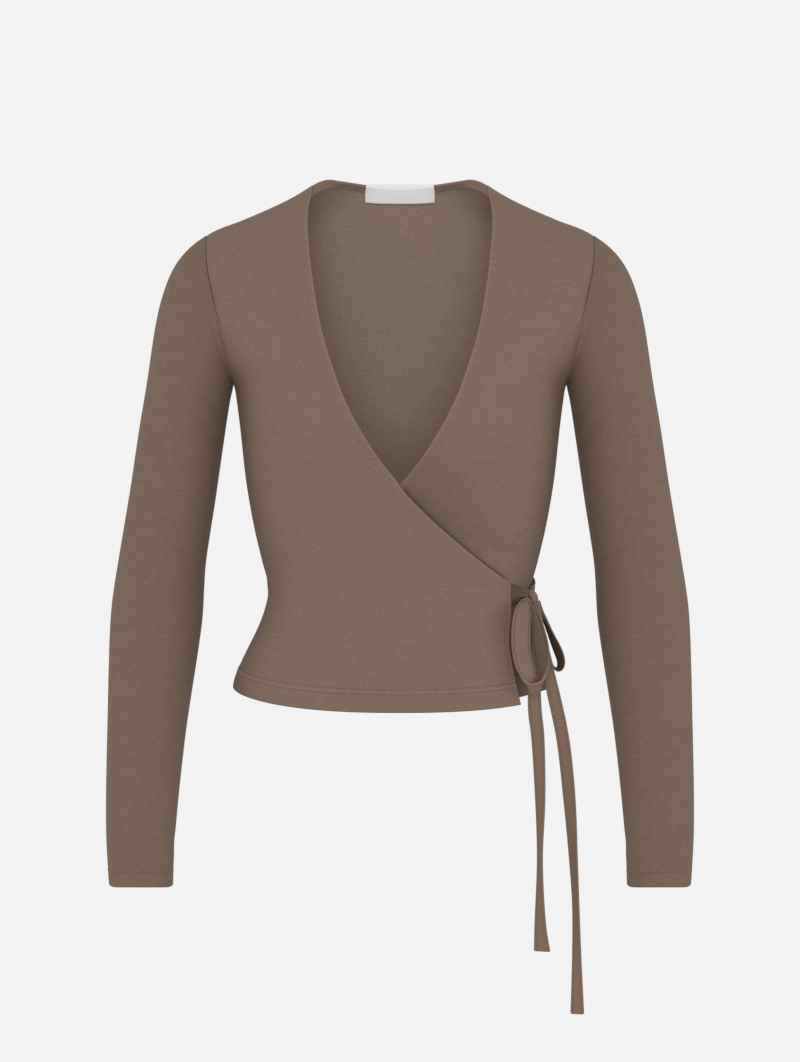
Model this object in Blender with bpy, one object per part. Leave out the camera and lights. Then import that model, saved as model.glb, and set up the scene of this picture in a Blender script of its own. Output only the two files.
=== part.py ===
"""A fitted wrap top with long sleeves and a side tie, filled out as if it were worn.

Metres, +Z up. The wearer faces -Y, and the wearer's left is +X. The origin is midway between
the two high shoulder points, where the shoulders hold the garment up.

Every panel is a closed wall. Its outer surface lies on one body form, which a turn about the
upright axis and a height name: turn 0 is the middle of the front, +90 degrees the wearer's
left side seam, 180 the middle of the back. The inner surface is the outer one moved in by
the cloth's thickness.
"""

import math

import bmesh
import bpy
import numpy as np
from mathutils.bvhtree import BVHTree

COLLECTION = "wrap_top"

# Cloth
CLOTH = 0.0012  # thickness of the jersey walls
SEAM_GAP = 0.0003  # between two pieces at a seam
LAYER_GAP = 0.0010  # between the two fronts where they lie on each other
TIE_CLOTH = 0.0012  # thickness of a tie, which is a flattened tube

# Rows and columns of the grids
ARM_ROWS = 9
FRONT_COLUMNS = 15
SHOULDER_COLUMNS = 7  # of the back, from an armhole to the neck
NECK_COLUMNS = 12
SLEEVE_RINGS = 25
BAND_COLUMNS = 20
LABEL_COLUMNS = 6

# Heights
UNDERARM = -0.1814
SIDE_HEM = -0.4570  # the hem at the side seams
HEM_DROP = 0.0188  # how far the hem hangs lower at the middle of the front and back
HEM_POWER = 1.25  # shape of the hem's curve: more is flatter near the side seams
UNDER_HEM_LIFT = 0.0048  # how far the under front's hem stays above the outer front's
SIDE_ROWS = (
    -0.4570, -0.4400, -0.4220, -0.4040, -0.3875, -0.3765, -0.3654, -0.3543, -0.3440,
    -0.3330, -0.3205, -0.3050, -0.2870, -0.2670, -0.2460, -0.2250, -0.2040, -0.1814,
)
SLIT_ROWS = (5, 6, 7)  # the rows of SIDE_ROWS at which the right side seam is left open
SLIT_FRONT = 0.0022  # how far the slit's edges stand back from the side seam
SLIT_BACK = 0.0058

# The body form
MEAN_RADIUS = 0.115  # turns a change of turn into a length round the body
SECTION_POWER = 2.4  # 2 is an ellipse, and more is squarer at the sides
SHOULDER_BEND = 0.040  # how far below the shoulder seam the cloth takes to turn upright
BUST_OUT = 0.0150
BUST_X = 0.080
BUST_HEIGHT = -0.2300
BUST_HALF_WIDTH = 0.050
BUST_ABOVE = 0.070
BUST_BELOW = 0.040
ARM_FRONT = 0.62  # depth of the armhole's front edge, as a share of the chest's depth
ARM_BACK = 0.55
ARM_ROUND = 0.055  # height over which the armhole's edge turns from the underarm to upright
FLARE_FROM = 0.35  # share of the half width from which the cloth flares to the armhole
TIE_HEIGHT = -0.3660
CINCH_DEPTH = 0.0022  # how far the tie pulls in the waist beneath it
CINCH_HALF_HEIGHT = 0.0130
CINCH_FADE = 0.2  # the cosine of the turn in front of the side seams at which that ends


def table(columns, *rows):
    """Rows of sizes as one array for each named column."""
    return dict(zip(columns, np.array(rows, float).T))


TORSO = table(
    ("height", "right", "left", "front", "back"),
    (-0.480, 0.1515, 0.1380, 0.1040, 0.1010),
    (-0.450, 0.1492, 0.1370, 0.1015, 0.0980),
    (-0.424, 0.1379, 0.1335, 0.0990, 0.0930),
    (-0.400, 0.1262, 0.1260, 0.0960, 0.0870),
    (-0.384, 0.1208, 0.1208, 0.0940, 0.0830),
    (-0.368, 0.1197, 0.1197, 0.0925, 0.0810),
    (-0.350, 0.1228, 0.1228, 0.0920, 0.0810),
    (-0.316, 0.1307, 0.1307, 0.0935, 0.0840),
    (-0.276, 0.1379, 0.1379, 0.0985, 0.0900),
    (-0.222, 0.1440, 0.1440, 0.1020, 0.0960),
    (-0.1814, 0.1494, 0.1494, 0.0985, 0.0985),
    (-0.120, 0.1600, 0.1600, 0.0790, 0.0960),
    (-0.060, 0.1720, 0.1720, 0.0530, 0.0840),
    (0.000, 0.1850, 0.1850, 0.0290, 0.0640),
    (0.050, 0.1950, 0.1950, 0.0100, 0.0480),
)

SHOULDER = table(  # the shoulder seam, carried on across the neck opening
    ("across", "height", "y"),
    (0.0000, 0.0460, 0.0100),
    (0.0450, 0.0190, 0.0100),
    (0.0660, 0.0046, 0.0100),
    (0.0790, -0.0048, 0.0095),
    (0.0950, -0.0150, 0.0085),
    (0.1170, -0.0260, 0.0070),
    (0.1420, -0.0369, 0.0055),
    (0.1690, -0.0478, 0.0042),
    (0.1800, -0.0545, 0.0040),
)
HIGH_POINT_X = 0.0790  # where the shoulder seam meets the neckline

BACK_NECK = table(
    ("across", "height"),
    (0.0000, -0.0019),
    (0.0200, -0.0010),
    (0.0409, 0.0013),
    (0.0544, 0.0024),
    (0.0654, 0.0022),
    (0.0724, -0.0006),
    (0.0790, -0.0048),
)

ARMHOLE = table(
    ("height", "across"),
    (-0.1814, 0.1494),
    (-0.1660, 0.1532),
    (-0.1430, 0.1590),
    (-0.1130, 0.1656),
    (-0.0810, 0.1722),
    (-0.0510, 0.1742),
)

# The free edge of the outer front, from the high shoulder point to its corner. across is past
# the middle, towards the wearer's left. The under front has the same edge, mirrored.
WRAP_EDGE = table(
    ("height", "across"),
    (-0.3619, 0.0982),
    (-0.3494, 0.0806),
    (-0.3344, 0.0613),
    (-0.3089, 0.0298),
    (-0.2906, 0.0135),
    (-0.2775, 0.0010),
    (-0.2584, -0.0149),
    (-0.2337, -0.0314),
    (-0.2026, -0.0479),
    (-0.1690, -0.0604),
    (-0.1395, -0.0690),
    (-0.1061, -0.0754),
    (-0.0677, -0.0804),
    (-0.0379, -0.0823),
    (-0.0253, -0.0816),
    (-0.0158, -0.0797),
    (-0.0048, -0.0790),
)
CORNER_HEIGHT = -0.3619
END_EDGE = table(  # from the hem up to the corner
    ("height", "across"),
    (-0.4760, 0.1085),
    (-0.4554, 0.1037),
    (-0.4359, 0.0999),
    (-0.4165, 0.0970),
    (-0.3884, 0.0986),
    (-0.3619, 0.0982),
)

# The right sleeve's sections. outer and inner are the ends of a section seen from the front,
# and y_front and y_back are how far it reaches forward and back.
SLEEVE = table(
    ("outer", "outer_height", "inner", "inner_height", "y_front", "y_back"),
    (0.1857, -0.0585, 0.1499, -0.1836, -0.0500, 0.0520),
    (0.1966, -0.0693, 0.1502, -0.1858, -0.0520, 0.0530),
    (0.2070, -0.0864, 0.1506, -0.1882, -0.0530, 0.0530),
    (0.2170, -0.1170, 0.1513, -0.1918, -0.0525, 0.0530),
    (0.2228, -0.1494, 0.1525, -0.1970, -0.0510, 0.0525),
    (0.2280, -0.1850, 0.1544, -0.2080, -0.0490, 0.0520),
    (0.2345, -0.2230, 0.1586, -0.2360, -0.0460, 0.0515),
    (0.2430, -0.2790, 0.1667, -0.2915, -0.0420, 0.0505),
    (0.2530, -0.3380, 0.1753, -0.3480, -0.0380, 0.0500),
    (0.2600, -0.3850, 0.1778, -0.3930, -0.0385, 0.0480),
    (0.2618, -0.4300, 0.1835, -0.4370, -0.0430, 0.0400),
    (0.2622, -0.4840, 0.1911, -0.4900, -0.0490, 0.0250),
    (0.2628, -0.5410, 0.1971, -0.5450, -0.0540, 0.0120),
    (0.2622, -0.5920, 0.2012, -0.5940, -0.0570, 0.0030),
    (0.2592, -0.6332, 0.2028, -0.6332, -0.0585, -0.0015),
)

FOLDS = table(  # soft hollows along straight runs on the body form, in degrees and metres
    ("turn", "height", "turn_end", "height_end", "width", "depth"),
    (49.0, -0.376, 22.0, -0.398, 0.018, 0.0008),
    (50.0, -0.384, 30.0, -0.432, 0.018, 0.0008),
    (-66.0, -0.170, -48.0, -0.128, 0.014, 0.0022),
    (66.0, -0.170, 48.0, -0.128, 0.014, 0.0022),
    (112.0, -0.176, 132.0, -0.132, 0.014, 0.0022),
    (248.0, -0.176, 228.0, -0.132, 0.014, 0.0022),
    (-84.0, -0.356, -50.0, -0.344, 0.014, 0.0012),
    (208.0, -0.340, 150.0, -0.345, 0.016, 0.0012),
)

# Back neck band and label
BAND_DEPTH = 0.0085
BAND_CLOTH = 0.0010
BAND_HALF_WIDTH = 0.0755
LABEL_WIDTH = 0.0630
LABEL_DEPTH = 0.0178
LABEL_LIFT = 0.0005  # how far the label stands above the neck edge
LABEL_CLOTH = 0.0010
LABEL_GAP = 0.0005  # between the label and the band beneath it

# The knot and what hangs from it
KNOT_CENTRE = (0.1179, -0.0400, -0.3733)
KNOT_RADII = (0.0052, 0.0058, 0.0062)
KNOT_LEAN = math.radians(35)

TIE_OUTER = table(  # from the outer front's corner to the knot; out is from the body form
    ("turn", "top", "bottom", "out"),
    (55.7, -0.3634, -0.3815, 0.0002),
    (58.0, -0.3648, -0.3803, 0.0018),
    (61.0, -0.3667, -0.3786, 0.0036),
    (64.0, -0.3688, -0.3768, 0.0058),
)

TIE_UNDER = table(  # from the under front's corner, out at the slit, round the back to the knot
    ("turn", "middle", "width", "out"),
    (-55.7, -0.3712, 0.0150, -0.0021),
    (-62.0, -0.3703, 0.0150, -0.0023),
    (-70.0, -0.3690, 0.0150, -0.0023),
    (-78.0, -0.3677, 0.0150, -0.0023),
    (-84.5, -0.3666, 0.0150, -0.0025),
    (-88.6, -0.3660, 0.0150, -0.0026),
    (-93.3, -0.3660, 0.0150, 0.0022),
    (-98.0, -0.3660, 0.0145, 0.0020),
    (-105.0, -0.3660, 0.0145, 0.0020),
    (-180.0, -0.3660, 0.0145, 0.0020),
    (-258.0, -0.3660, 0.0140, 0.0020),
    (-266.0, -0.3660, 0.0130, 0.0020),
    (-274.0, -0.3664, 0.0110, 0.0022),
    (-281.0, -0.3680, 0.0090, 0.0024),
    (-287.0, -0.3705, 0.0065, 0.0026),
)
TIE_STEP = 6.4  # degrees between the rows of the tie round the back

RIBBON_COLUMNS = ("x", "y", "height", "x_other", "y_other", "height_other")
LOOP_FRONT = table(  # the large loop: its edge nearest the viewer, and its other edge
    RIBBON_COLUMNS,
    (0.1147, -0.0454, -0.3758, 0.1163, -0.0454, -0.3790),
    (0.1079, -0.0600, -0.3772, 0.1151, -0.0570, -0.3850),
    (0.1013, -0.0730, -0.3845, 0.1152, -0.0670, -0.3935),
    (0.0980, -0.0795, -0.4020, 0.1150, -0.0735, -0.4090),
    (0.0980, -0.0815, -0.4196, 0.1147, -0.0755, -0.4260),
    (0.1008, -0.0825, -0.4350, 0.1138, -0.0755, -0.4420),
    (0.1070, -0.0825, -0.4462, 0.1134, -0.0745, -0.4555),
    (0.1160, -0.0810, -0.4510, 0.1172, -0.0725, -0.4618),
    (0.1250, -0.0785, -0.4480, 0.1228, -0.0700, -0.4585),
    (0.1308, -0.0750, -0.4380, 0.1248, -0.0685, -0.4480),
    (0.1320, -0.0715, -0.4230, 0.1225, -0.0675, -0.4340),
    (0.1290, -0.0660, -0.4070, 0.1188, -0.0650, -0.4180),
    (0.1236, -0.0570, -0.3895, 0.1176, -0.0580, -0.3970),
    (0.1200, -0.0470, -0.3805, 0.1180, -0.0480, -0.3830),
)
LOOP_SIDE = table(
    RIBBON_COLUMNS,
    (0.1240, -0.0430, -0.3785, 0.1240, -0.0370, -0.3800),
    (0.1306, -0.0460, -0.3905, 0.1279, -0.0350, -0.3961),
    (0.1370, -0.0485, -0.4040, 0.1340, -0.0350, -0.4100),
    (0.1442, -0.0500, -0.4224, 0.1394, -0.0360, -0.4237),
    (0.1466, -0.0500, -0.4320, 0.1412, -0.0360, -0.4325),
    (0.1446, -0.0500, -0.4392, 0.1402, -0.0360, -0.4380),
    (0.1400, -0.0495, -0.4412, 0.1376, -0.0350, -0.4388),
    (0.1354, -0.0480, -0.4370, 0.1350, -0.0340, -0.4345),
    (0.1318, -0.0455, -0.4230, 0.1318, -0.0325, -0.4200),
    (0.1276, -0.0425, -0.4040, 0.1276, -0.0305, -0.4030),
    (0.1236, -0.0395, -0.3850, 0.1236, -0.0330, -0.3850),
)
TAIL_SHORT = table(
    RIBBON_COLUMNS,
    (0.1155, -0.0440, -0.3815, 0.1195, -0.0440, -0.3815),
    (0.1137, -0.0610, -0.4140, 0.1226, -0.0600, -0.4140),
    (0.1129, -0.0665, -0.4484, 0.1240, -0.0650, -0.4484),
    (0.1130, -0.0670, -0.4760, 0.1253, -0.0660, -0.4760),
    (0.1160, -0.0670, -0.5013, 0.1276, -0.0700, -0.5013),
    (0.1194, -0.0650, -0.5543, 0.1281, -0.0730, -0.5543),
    (0.1216, -0.0610, -0.6072, 0.1254, -0.0740, -0.6072),
    (0.1190, -0.0640, -0.6602, 0.1284, -0.0730, -0.6602),
    (0.1181, -0.0680, -0.6876, 0.1328, -0.0680, -0.6884),
)
TAIL_LONG = table(
    RIBBON_COLUMNS,
    (0.1208, -0.0440, -0.3812, 0.1236, -0.0435, -0.3790),
    (0.1222, -0.0475, -0.3957, 0.1276, -0.0455, -0.3957),
    (0.1248, -0.0525, -0.4222, 0.1328, -0.0500, -0.4222),
    (0.1296, -0.0580, -0.4584, 0.1408, -0.0560, -0.4570),
    (0.1384, -0.0600, -0.5017, 0.1500, -0.0620, -0.5017),
    (0.1446, -0.0580, -0.5547, 0.1552, -0.0650, -0.5547),
    (0.1500, -0.0540, -0.6078, 0.1569, -0.0660, -0.6078),
    (0.1529, -0.0530, -0.6475, 0.1581, -0.0660, -0.6475),
    (0.1526, -0.0560, -0.6874, 0.1599, -0.0650, -0.6874),
    (0.1507, -0.0600, -0.7440, 0.1630, -0.0600, -0.7445),
)

JERSEY = (0.205, 0.140, 0.107)
LABEL_CREAM = (0.780, 0.750, 0.690)


def smooth(places, values, at):
    """The value at a place, on a smooth curve through the given values, held flat past both ends."""
    steps = np.diff(places)
    slopes = np.diff(values) / steps
    inner = (slopes[:-1] * steps[1:] + slopes[1:] * steps[:-1]) / (steps[:-1] + steps[1:])
    tangents = np.concatenate([slopes[:1], inner, slopes[-1:]])
    index = np.clip(np.searchsorted(places, at, side="right") - 1, 0, len(steps) - 1)
    t = np.clip((at - places[index]) / steps[index], 0, 1)
    return (
        values[index] * (1 + 2 * t) * (1 - t) ** 2
        + tangents[index] * steps[index] * t * (1 - t) ** 2
        + values[index + 1] * t**2 * (3 - 2 * t)
        - tangents[index + 1] * steps[index] * t**2 * (1 - t)
    )


def look_up(source, column, at, by="height"):
    return smooth(source[by], source[column], np.asarray(at, float))


def ease(share):
    share = np.clip(share, 0, 1)
    return share * share * (3 - 2 * share)


def unit(vectors):
    return vectors / np.maximum(np.linalg.norm(vectors, axis=-1, keepdims=True), 1e-12)


# ---------------------------------------------------------------- body form


def shoulder_height(x):
    return look_up(SHOULDER, "height", np.abs(x), by="across")


def armhole_sine(z, is_front):
    """The sine of the turn at which a section at this height meets the armhole."""
    share = np.clip((z - UNDERARM) / ARM_ROUND, 0, 1)
    reach = np.where(is_front, ARM_FRONT, ARM_BACK) * np.sqrt(1 - (1 - share) ** 2)
    return (1 - reach**2) ** (1 / SECTION_POWER)


def half_width(turn, z):
    """Half the form's width at a height, flared towards the armholes above the underarm."""
    is_left = np.sin(turn) > 0
    plain = np.where(is_left, look_up(TORSO, "left", z), look_up(TORSO, "right", z))
    edge_sine = armhole_sine(z, np.cos(turn) > 0)
    edge_width = look_up(ARMHOLE, "across", z) / edge_sine
    share = ease((np.abs(np.sin(turn)) - FLARE_FROM) / (edge_sine - FLARE_FROM))
    return np.where(z > UNDERARM, plain + (edge_width - plain) * share, plain)


def across(turn, z):
    return half_width(turn, z) * np.sin(turn)


def bust(x, z):
    """How far the bust stands out from the plain section."""
    side = (np.abs(x) - BUST_X) / BUST_HALF_WIDTH
    rise = (z - BUST_HEIGHT) / np.where(z > BUST_HEIGHT, BUST_ABOVE, BUST_BELOW)
    return BUST_OUT * np.exp(-(side**2) - rise**2)


def form_point(turn, z):
    """The point of the body form at a turn and a height."""
    turn, z = np.broadcast_arrays(np.asarray(turn, float), np.asarray(z, float))
    x = across(turn, z)
    depth = np.maximum(0, 1 - np.abs(np.sin(turn)) ** SECTION_POWER) ** 0.5
    front = look_up(TORSO, "front", z) * depth + bust(x, z) * ease(depth * 2)
    y = np.where(np.cos(turn) > 0, -front, look_up(TORSO, "back", z) * depth)
    share = np.clip((shoulder_height(x) - z) / SHOULDER_BEND, 0, 1)
    seam_y = look_up(SHOULDER, "y", np.abs(x), by="across")
    y = seam_y + (y - seam_y) * np.sqrt(1 - (1 - share) ** 2)
    return np.stack([x, y, z], axis=-1)


def form_normal(turn, z):
    """The outward normal of the body form. At the shoulder seam both sides share one."""
    step_turn, step_z, seam_zone = 1e-4, 2e-4, 0.008
    along = form_point(turn + step_turn, z) - form_point(turn - step_turn, z)
    up = form_point(turn, z) - form_point(turn, z - step_z)
    plain = unit(np.cross(along, up))
    x = across(turn, z)
    step_x = 1e-3
    slope = (shoulder_height(np.abs(x) + step_x) - shoulder_height(np.abs(x) - step_x)) / (2 * step_x)
    seam = unit(np.stack([-slope * np.sign(x), np.zeros_like(x), np.ones_like(x)], axis=-1))
    share = ease((shoulder_height(x) - z) / seam_zone)[..., None]
    return unit(seam * (1 - share) + plain * share)


def fold_depth(turn, z):
    """How far the tie round the waist and the soft folds sink the cloth at a turn and a height."""
    degrees = np.degrees(turn)
    is_tied = ease(1 - np.cos(turn) / CINCH_FADE)
    total = CINCH_DEPTH * is_tied * np.exp(-(((z - TIE_HEIGHT) / CINCH_HALF_HEIGHT) ** 2))
    for row in zip(*FOLDS.values()):
        start_turn, start_z, end_turn, end_z, width, depth = row
        nearest = (degrees - start_turn + 180) % 360 - 180
        sideways = np.radians(nearest) * MEAN_RADIUS
        run = (math.radians(end_turn - start_turn) * MEAN_RADIUS, end_z - start_z)
        length = math.hypot(*run)
        along = (sideways * run[0] + (z - start_z) * run[1]) / length**2
        off = (sideways * run[1] - (z - start_z) * run[0]) / length
        fade = np.sin(np.pi * np.clip(along * 0.8 + 0.1, 0, 1)) ** 2
        total += depth * fade * np.exp(-((off / width) ** 2))
    return total


def cloth_point(turn, z, out=0.0):
    """A point of the cloth, moved out from the body form."""
    turn, z, out = np.broadcast_arrays(turn, z, out)
    return form_point(turn, z) + form_normal(turn, z) * (out - fold_depth(turn, z))[..., None]


# ---------------------------------------------------------------- rows and edges


def back_top(x):
    """The upper end of the back: the shoulder seams and the neck edge between them."""
    neck = look_up(BACK_NECK, "height", np.abs(x), by="across")
    return np.where(np.abs(x) < HIGH_POINT_X, np.minimum(neck, shoulder_height(x)), shoulder_height(x))


def row_levels():
    """Each row's level: 0 is the hem, 1 the underarm and 2 the top."""
    lower = (np.array(SIDE_ROWS) - SIDE_HEM) / (UNDERARM - SIDE_HEM)
    upper = 1 + (1 - np.cos(np.pi * np.arange(1, ARM_ROWS + 1) / ARM_ROWS)) / 2
    return np.concatenate([lower, upper])


def hem_height(turn):
    """The hem of the back and the under front. Both side seams end alike."""
    depth = np.maximum(0, 1 - np.abs(np.sin(turn)) ** SECTION_POWER) ** 0.5
    return SIDE_HEM - HEM_DROP * depth**HEM_POWER


def outer_hem_height(turn):
    """The outer front's hem, which is as long at the wearer's left as at the same place right."""
    share = np.abs(across(turn, SIDE_HEM)) / half_width(-np.pi / 2, SIDE_HEM)
    depth = np.maximum(0, 1 - share**SECTION_POWER) ** 0.5
    return SIDE_HEM - HEM_DROP * depth**HEM_POWER


def under_hem_height(turn):
    return hem_height(turn) + UNDER_HEM_LIFT * ease(2 * np.abs(np.cos(turn)))


def level_height(turn, level, hem, top):
    """The height of a row's level at a turn, with hem and top giving the panel's two ends."""
    low = hem(turn)
    z = low + (UNDERARM - low) * np.clip(level, 0, 1)
    upper = np.clip(level - 1, 0, 1)
    for _ in range(7):
        z = np.where(level > 1, UNDERARM + (top(across(turn, z)) - UNDERARM) * upper, z)
    return z


def armhole_turn(level, is_front):
    """The turn, from the middle of its own panel, at which a row above the underarm ends."""
    z = np.full(np.shape(level), UNDERARM)
    for _ in range(7):
        top = shoulder_height(look_up(ARMHOLE, "across", z))
        z = UNDERARM + (top - UNDERARM) * np.clip(level - 1, 0, 1)
    sine = armhole_sine(z, is_front)
    return np.where(level > 1, np.arcsin(sine), np.pi / 2)


def free_edge(z):
    """How far past the middle a front's free edge lies at a height."""
    wrap = look_up(WRAP_EDGE, "across", z)
    return np.where(z < CORNER_HEIGHT, look_up(END_EDGE, "across", z), wrap)


def solve_turn(miss, low, high):
    """The turn between two others at which a rising function of it is zero."""
    low, high = np.array(low, float), np.array(high, float)
    for _ in range(45):
        middle = (low + high) / 2
        is_past = miss(middle) > 0
        high = np.where(is_past, middle, high)
        low = np.where(is_past, low, middle)
    return (low + high) / 2


def armhole_loop():
    """The right armhole's turns and heights: from the shoulder down its front and up its back."""
    levels = 1 + (1 - np.cos(np.pi * np.arange(ARM_ROWS, -1, -1) / ARM_ROWS)) / 2
    back_turn = np.pi + armhole_turn(levels, False)
    turns = np.concatenate([-armhole_turn(levels, True), back_turn[-2:0:-1]])
    levels = np.concatenate([levels, levels[-2:0:-1]])
    return turns, level_height(turns, levels, hem_height, shoulder_height)


def armhole_normals():
    """At each point of the armhole, the direction halfway between a panel's and a sleeve's outsides."""
    turns, heights = armhole_loop()
    loop = cloth_point(turns, heights)
    around = np.roll(loop, -1, axis=0) - np.roll(loop, 1, axis=0)
    sleeve = unit(np.cross(sleeve_ring(0) - loop, around))
    between = unit(form_normal(turns, heights) + sleeve)
    return unit(np.roll(between, 1, axis=0) + 2 * between + np.roll(between, -1, axis=0))


def meet_sleeve(outer, inner, column, towards):
    """Moves the inner points at an armhole so that a panel's wall and a sleeve's end alike."""
    normals = armhole_normals() * np.array([-towards, 1, 1])
    is_front = outer[-2, column, 1] < outer[-1, column, 1]
    count = ARM_ROWS + 1
    edge = normals[:count][::-1] if is_front else np.concatenate([normals[ARM_ROWS:], normals[:1]])
    inner[-count:, column] = outer[-count:, column] - edge * CLOTH


def pull_back(grids, edge, distance):
    """Moves one edge of each grid towards the grid's inside: rows first or last, or columns."""
    for grid in grids:
        if edge == "first column":
            ends, inside = grid[:, 0], grid[:, 1]
        elif edge == "last column":
            ends, inside = grid[:, -1], grid[:, -2]
        elif edge == "first row":
            ends, inside = grid[0], grid[1]
        else:
            ends, inside = grid[-1], grid[-2]
        ends += unit(inside - ends) * np.reshape(distance, (-1, 1))


# ---------------------------------------------------------------- making objects


def material(name, colour, roughness):
    made = bpy.data.materials.new(name)
    made.use_nodes = True
    shader = made.node_tree.nodes["Principled BSDF"]
    shader.inputs["Base Color"].default_value = (*colour, 1)
    shader.inputs["Roughness"].default_value = roughness
    shader.inputs["Metallic"].default_value = 0.0
    return made


def add_object(name, mesh, colour=JERSEY, roughness=0.85):
    mesh.materials.append(material(name, colour, roughness))
    mesh.shade_smooth()
    mesh.set_sharp_from_angle(angle=math.radians(50))
    made = bpy.data.objects.new(name, mesh)
    bpy.data.collections[COLLECTION].objects.link(made)
    return made


def grid_triangles(grid, is_tube=False):
    """A grid's faces, each cell split along its shorter diagonal.

    A tube's columns go all the way round. Seen with rows going up and columns going left, the
    faces look at the viewer.
    """
    index = np.arange(grid.shape[0] * grid.shape[1]).reshape(grid.shape[:2])
    if is_tube:
        index = np.concatenate([index, index[:, :1]], axis=1)
    near, beside, far, far_beside = index[:-1, :-1], index[:-1, 1:], index[1:, :-1], index[1:, 1:]
    points = grid.reshape(-1, 3)
    rising = np.linalg.norm(points[near] - points[far_beside], axis=-1)
    falling = np.linalg.norm(points[beside] - points[far], axis=-1)
    is_rising = (rising < falling)[..., None]
    first = np.where(is_rising, np.stack([near, far, far_beside], -1), np.stack([near, far, beside], -1))
    second = np.where(
        is_rising, np.stack([near, far_beside, beside], -1), np.stack([beside, far, far_beside], -1)
    )
    return np.concatenate([first.reshape(-1, 3), second.reshape(-1, 3)])


def add_wall(name, outer, inner, is_tube=False, **look):
    """A closed wall between an outer and an inner grid of points.

    A tube is open at its first and last row, and any other wall also has edges at its first and
    last column.
    """
    count = outer.shape[0] * outer.shape[1]
    index = np.arange(count).reshape(outer.shape[:2])
    points = np.concatenate([outer.reshape(-1, 3), inner.reshape(-1, 3)])
    faces = [grid_triangles(outer, is_tube), grid_triangles(inner, is_tube) + count]
    if is_tube:
        rims = [np.append(index[row], index[row, 0]) for row in (0, -1)]
    else:
        rims = [np.concatenate([index[0, :-1], index[:-1, -1], index[-1, :0:-1], index[::-1, 0]])]
    for rim in rims:
        pair = np.stack([rim, rim + count])
        faces.append(pair.reshape(-1)[grid_triangles(points[pair])])
    shape = bmesh.new()
    corners = [shape.verts.new(point) for point in points]
    for face in np.concatenate(faces):
        shape.faces.new([corners[corner] for corner in face])
    bmesh.ops.recalc_face_normals(shape, faces=shape.faces)
    mesh = bpy.data.meshes.new(name)
    shape.to_mesh(mesh)
    shape.free()
    return add_object(name, mesh, **look)


# ---------------------------------------------------------------- fronts and back


def outer_edge_turn(z):
    """The turn of the outer front's free edge at a height."""
    return solve_turn(lambda turn: across(turn, z) - free_edge(z), np.full(np.shape(z), -1.0), 1.4)


def under_inset(turn, z):
    """How deep the under front lies: beneath the outer front, and level with it past its edge."""
    margin, fade = 0.020, 0.042
    past = (turn - outer_edge_turn(z)) * MEAN_RADIUS - margin
    return (CLOTH + LAYER_GAP) * (1 - ease(past / fade))


def front_grid(towards, hem):
    """Turns and heights of a front's rows and columns. towards is +1 if it wraps to the left."""
    levels = row_levels()
    starts = -armhole_turn(levels, True)

    def miss(turn):
        z = level_height(turn * towards, levels, hem, shoulder_height)
        return across(turn * towards, z) * towards - free_edge(z)

    ends = solve_turn(miss, starts, np.full(len(levels), 1.4))
    share = np.linspace(0, 1, FRONT_COLUMNS + 1)
    turns = (starts[:, None] + (ends - starts)[:, None] * share) * towards
    return turns, level_height(turns, levels[:, None], hem, shoulder_height)


def slit_distances(width):
    """How far each row's end stands back from the right side seam, so as to leave the slit open."""
    distances = np.full(len(row_levels()), SEAM_GAP / 2)
    distances[list(SLIT_ROWS)] = width
    return distances


def make_outer_front():
    turns, heights = front_grid(+1, outer_hem_height)
    outer = cloth_point(turns, heights)
    inner = cloth_point(turns, heights, -CLOTH)
    meet_sleeve(outer, inner, 0, -1)
    pull_back((outer, inner), "first column", slit_distances(SLIT_FRONT))
    pull_back((outer, inner), "last row", SEAM_GAP / 2)
    add_wall("outer_front", outer, inner)


def make_under_front():
    turns, heights = front_grid(-1, under_hem_height)
    inset = under_inset(turns, heights)
    outer = cloth_point(turns, heights, -inset)
    inner = cloth_point(turns, heights, -inset - CLOTH)
    meet_sleeve(outer, inner, 0, 1)
    pull_back((outer, inner), "first column", SEAM_GAP / 2)
    pull_back((outer, inner), "last row", SEAM_GAP / 2)
    add_wall("under_front", outer, inner)


def back_top_turns(start):
    """Turns of the columns at the back's upper end: over each shoulder, and evenly round the neck."""
    neck_start = solve_turn(
        lambda turn: HIGH_POINT_X - across(turn, shoulder_height(HIGH_POINT_X)), np.pi / 2 + 0.3, np.pi
    )
    dense = np.linspace(neck_start, 2 * np.pi - neck_start, 301)
    edge = form_point(dense, level_height(dense, 2.0, hem_height, back_top))
    lengths = np.concatenate([[0], np.cumsum(np.linalg.norm(np.diff(edge, axis=0), axis=1))])
    neck = np.interp(np.linspace(0, lengths[-1], NECK_COLUMNS + 1), lengths, dense)
    shoulder = np.linspace(start, neck[0], SHOULDER_COLUMNS, endpoint=False)
    return np.concatenate([shoulder, neck, 2 * np.pi - shoulder[::-1]])


def make_back():
    """The back panel. Gives the points of its inner surface."""
    levels = row_levels()
    starts = np.pi - armhole_turn(levels, False)
    share = np.linspace(0, 1, 2 * SHOULDER_COLUMNS + NECK_COLUMNS + 1)
    at_top = (back_top_turns(starts[-1]) - starts[-1]) / (2 * (np.pi - starts[-1]))
    upper = np.clip(levels - 1, 0, 1)[:, None]
    turns = starts[:, None] + 2 * (np.pi - starts)[:, None] * (share * (1 - upper) + at_top * upper)
    heights = level_height(turns, levels[:, None], hem_height, back_top)
    outer = cloth_point(turns, heights)
    inner = cloth_point(turns, heights, -CLOTH)
    meet_sleeve(outer, inner, 0, 1)
    meet_sleeve(outer, inner, -1, -1)
    pull_back((outer, inner), "first column", SEAM_GAP / 2)
    pull_back((outer, inner), "last column", slit_distances(SLIT_BACK))
    pull_back((outer, inner), "last row", SEAM_GAP / 2)
    add_wall("back_panel", outer, inner)
    return inner


# ---------------------------------------------------------------- sleeves


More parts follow.
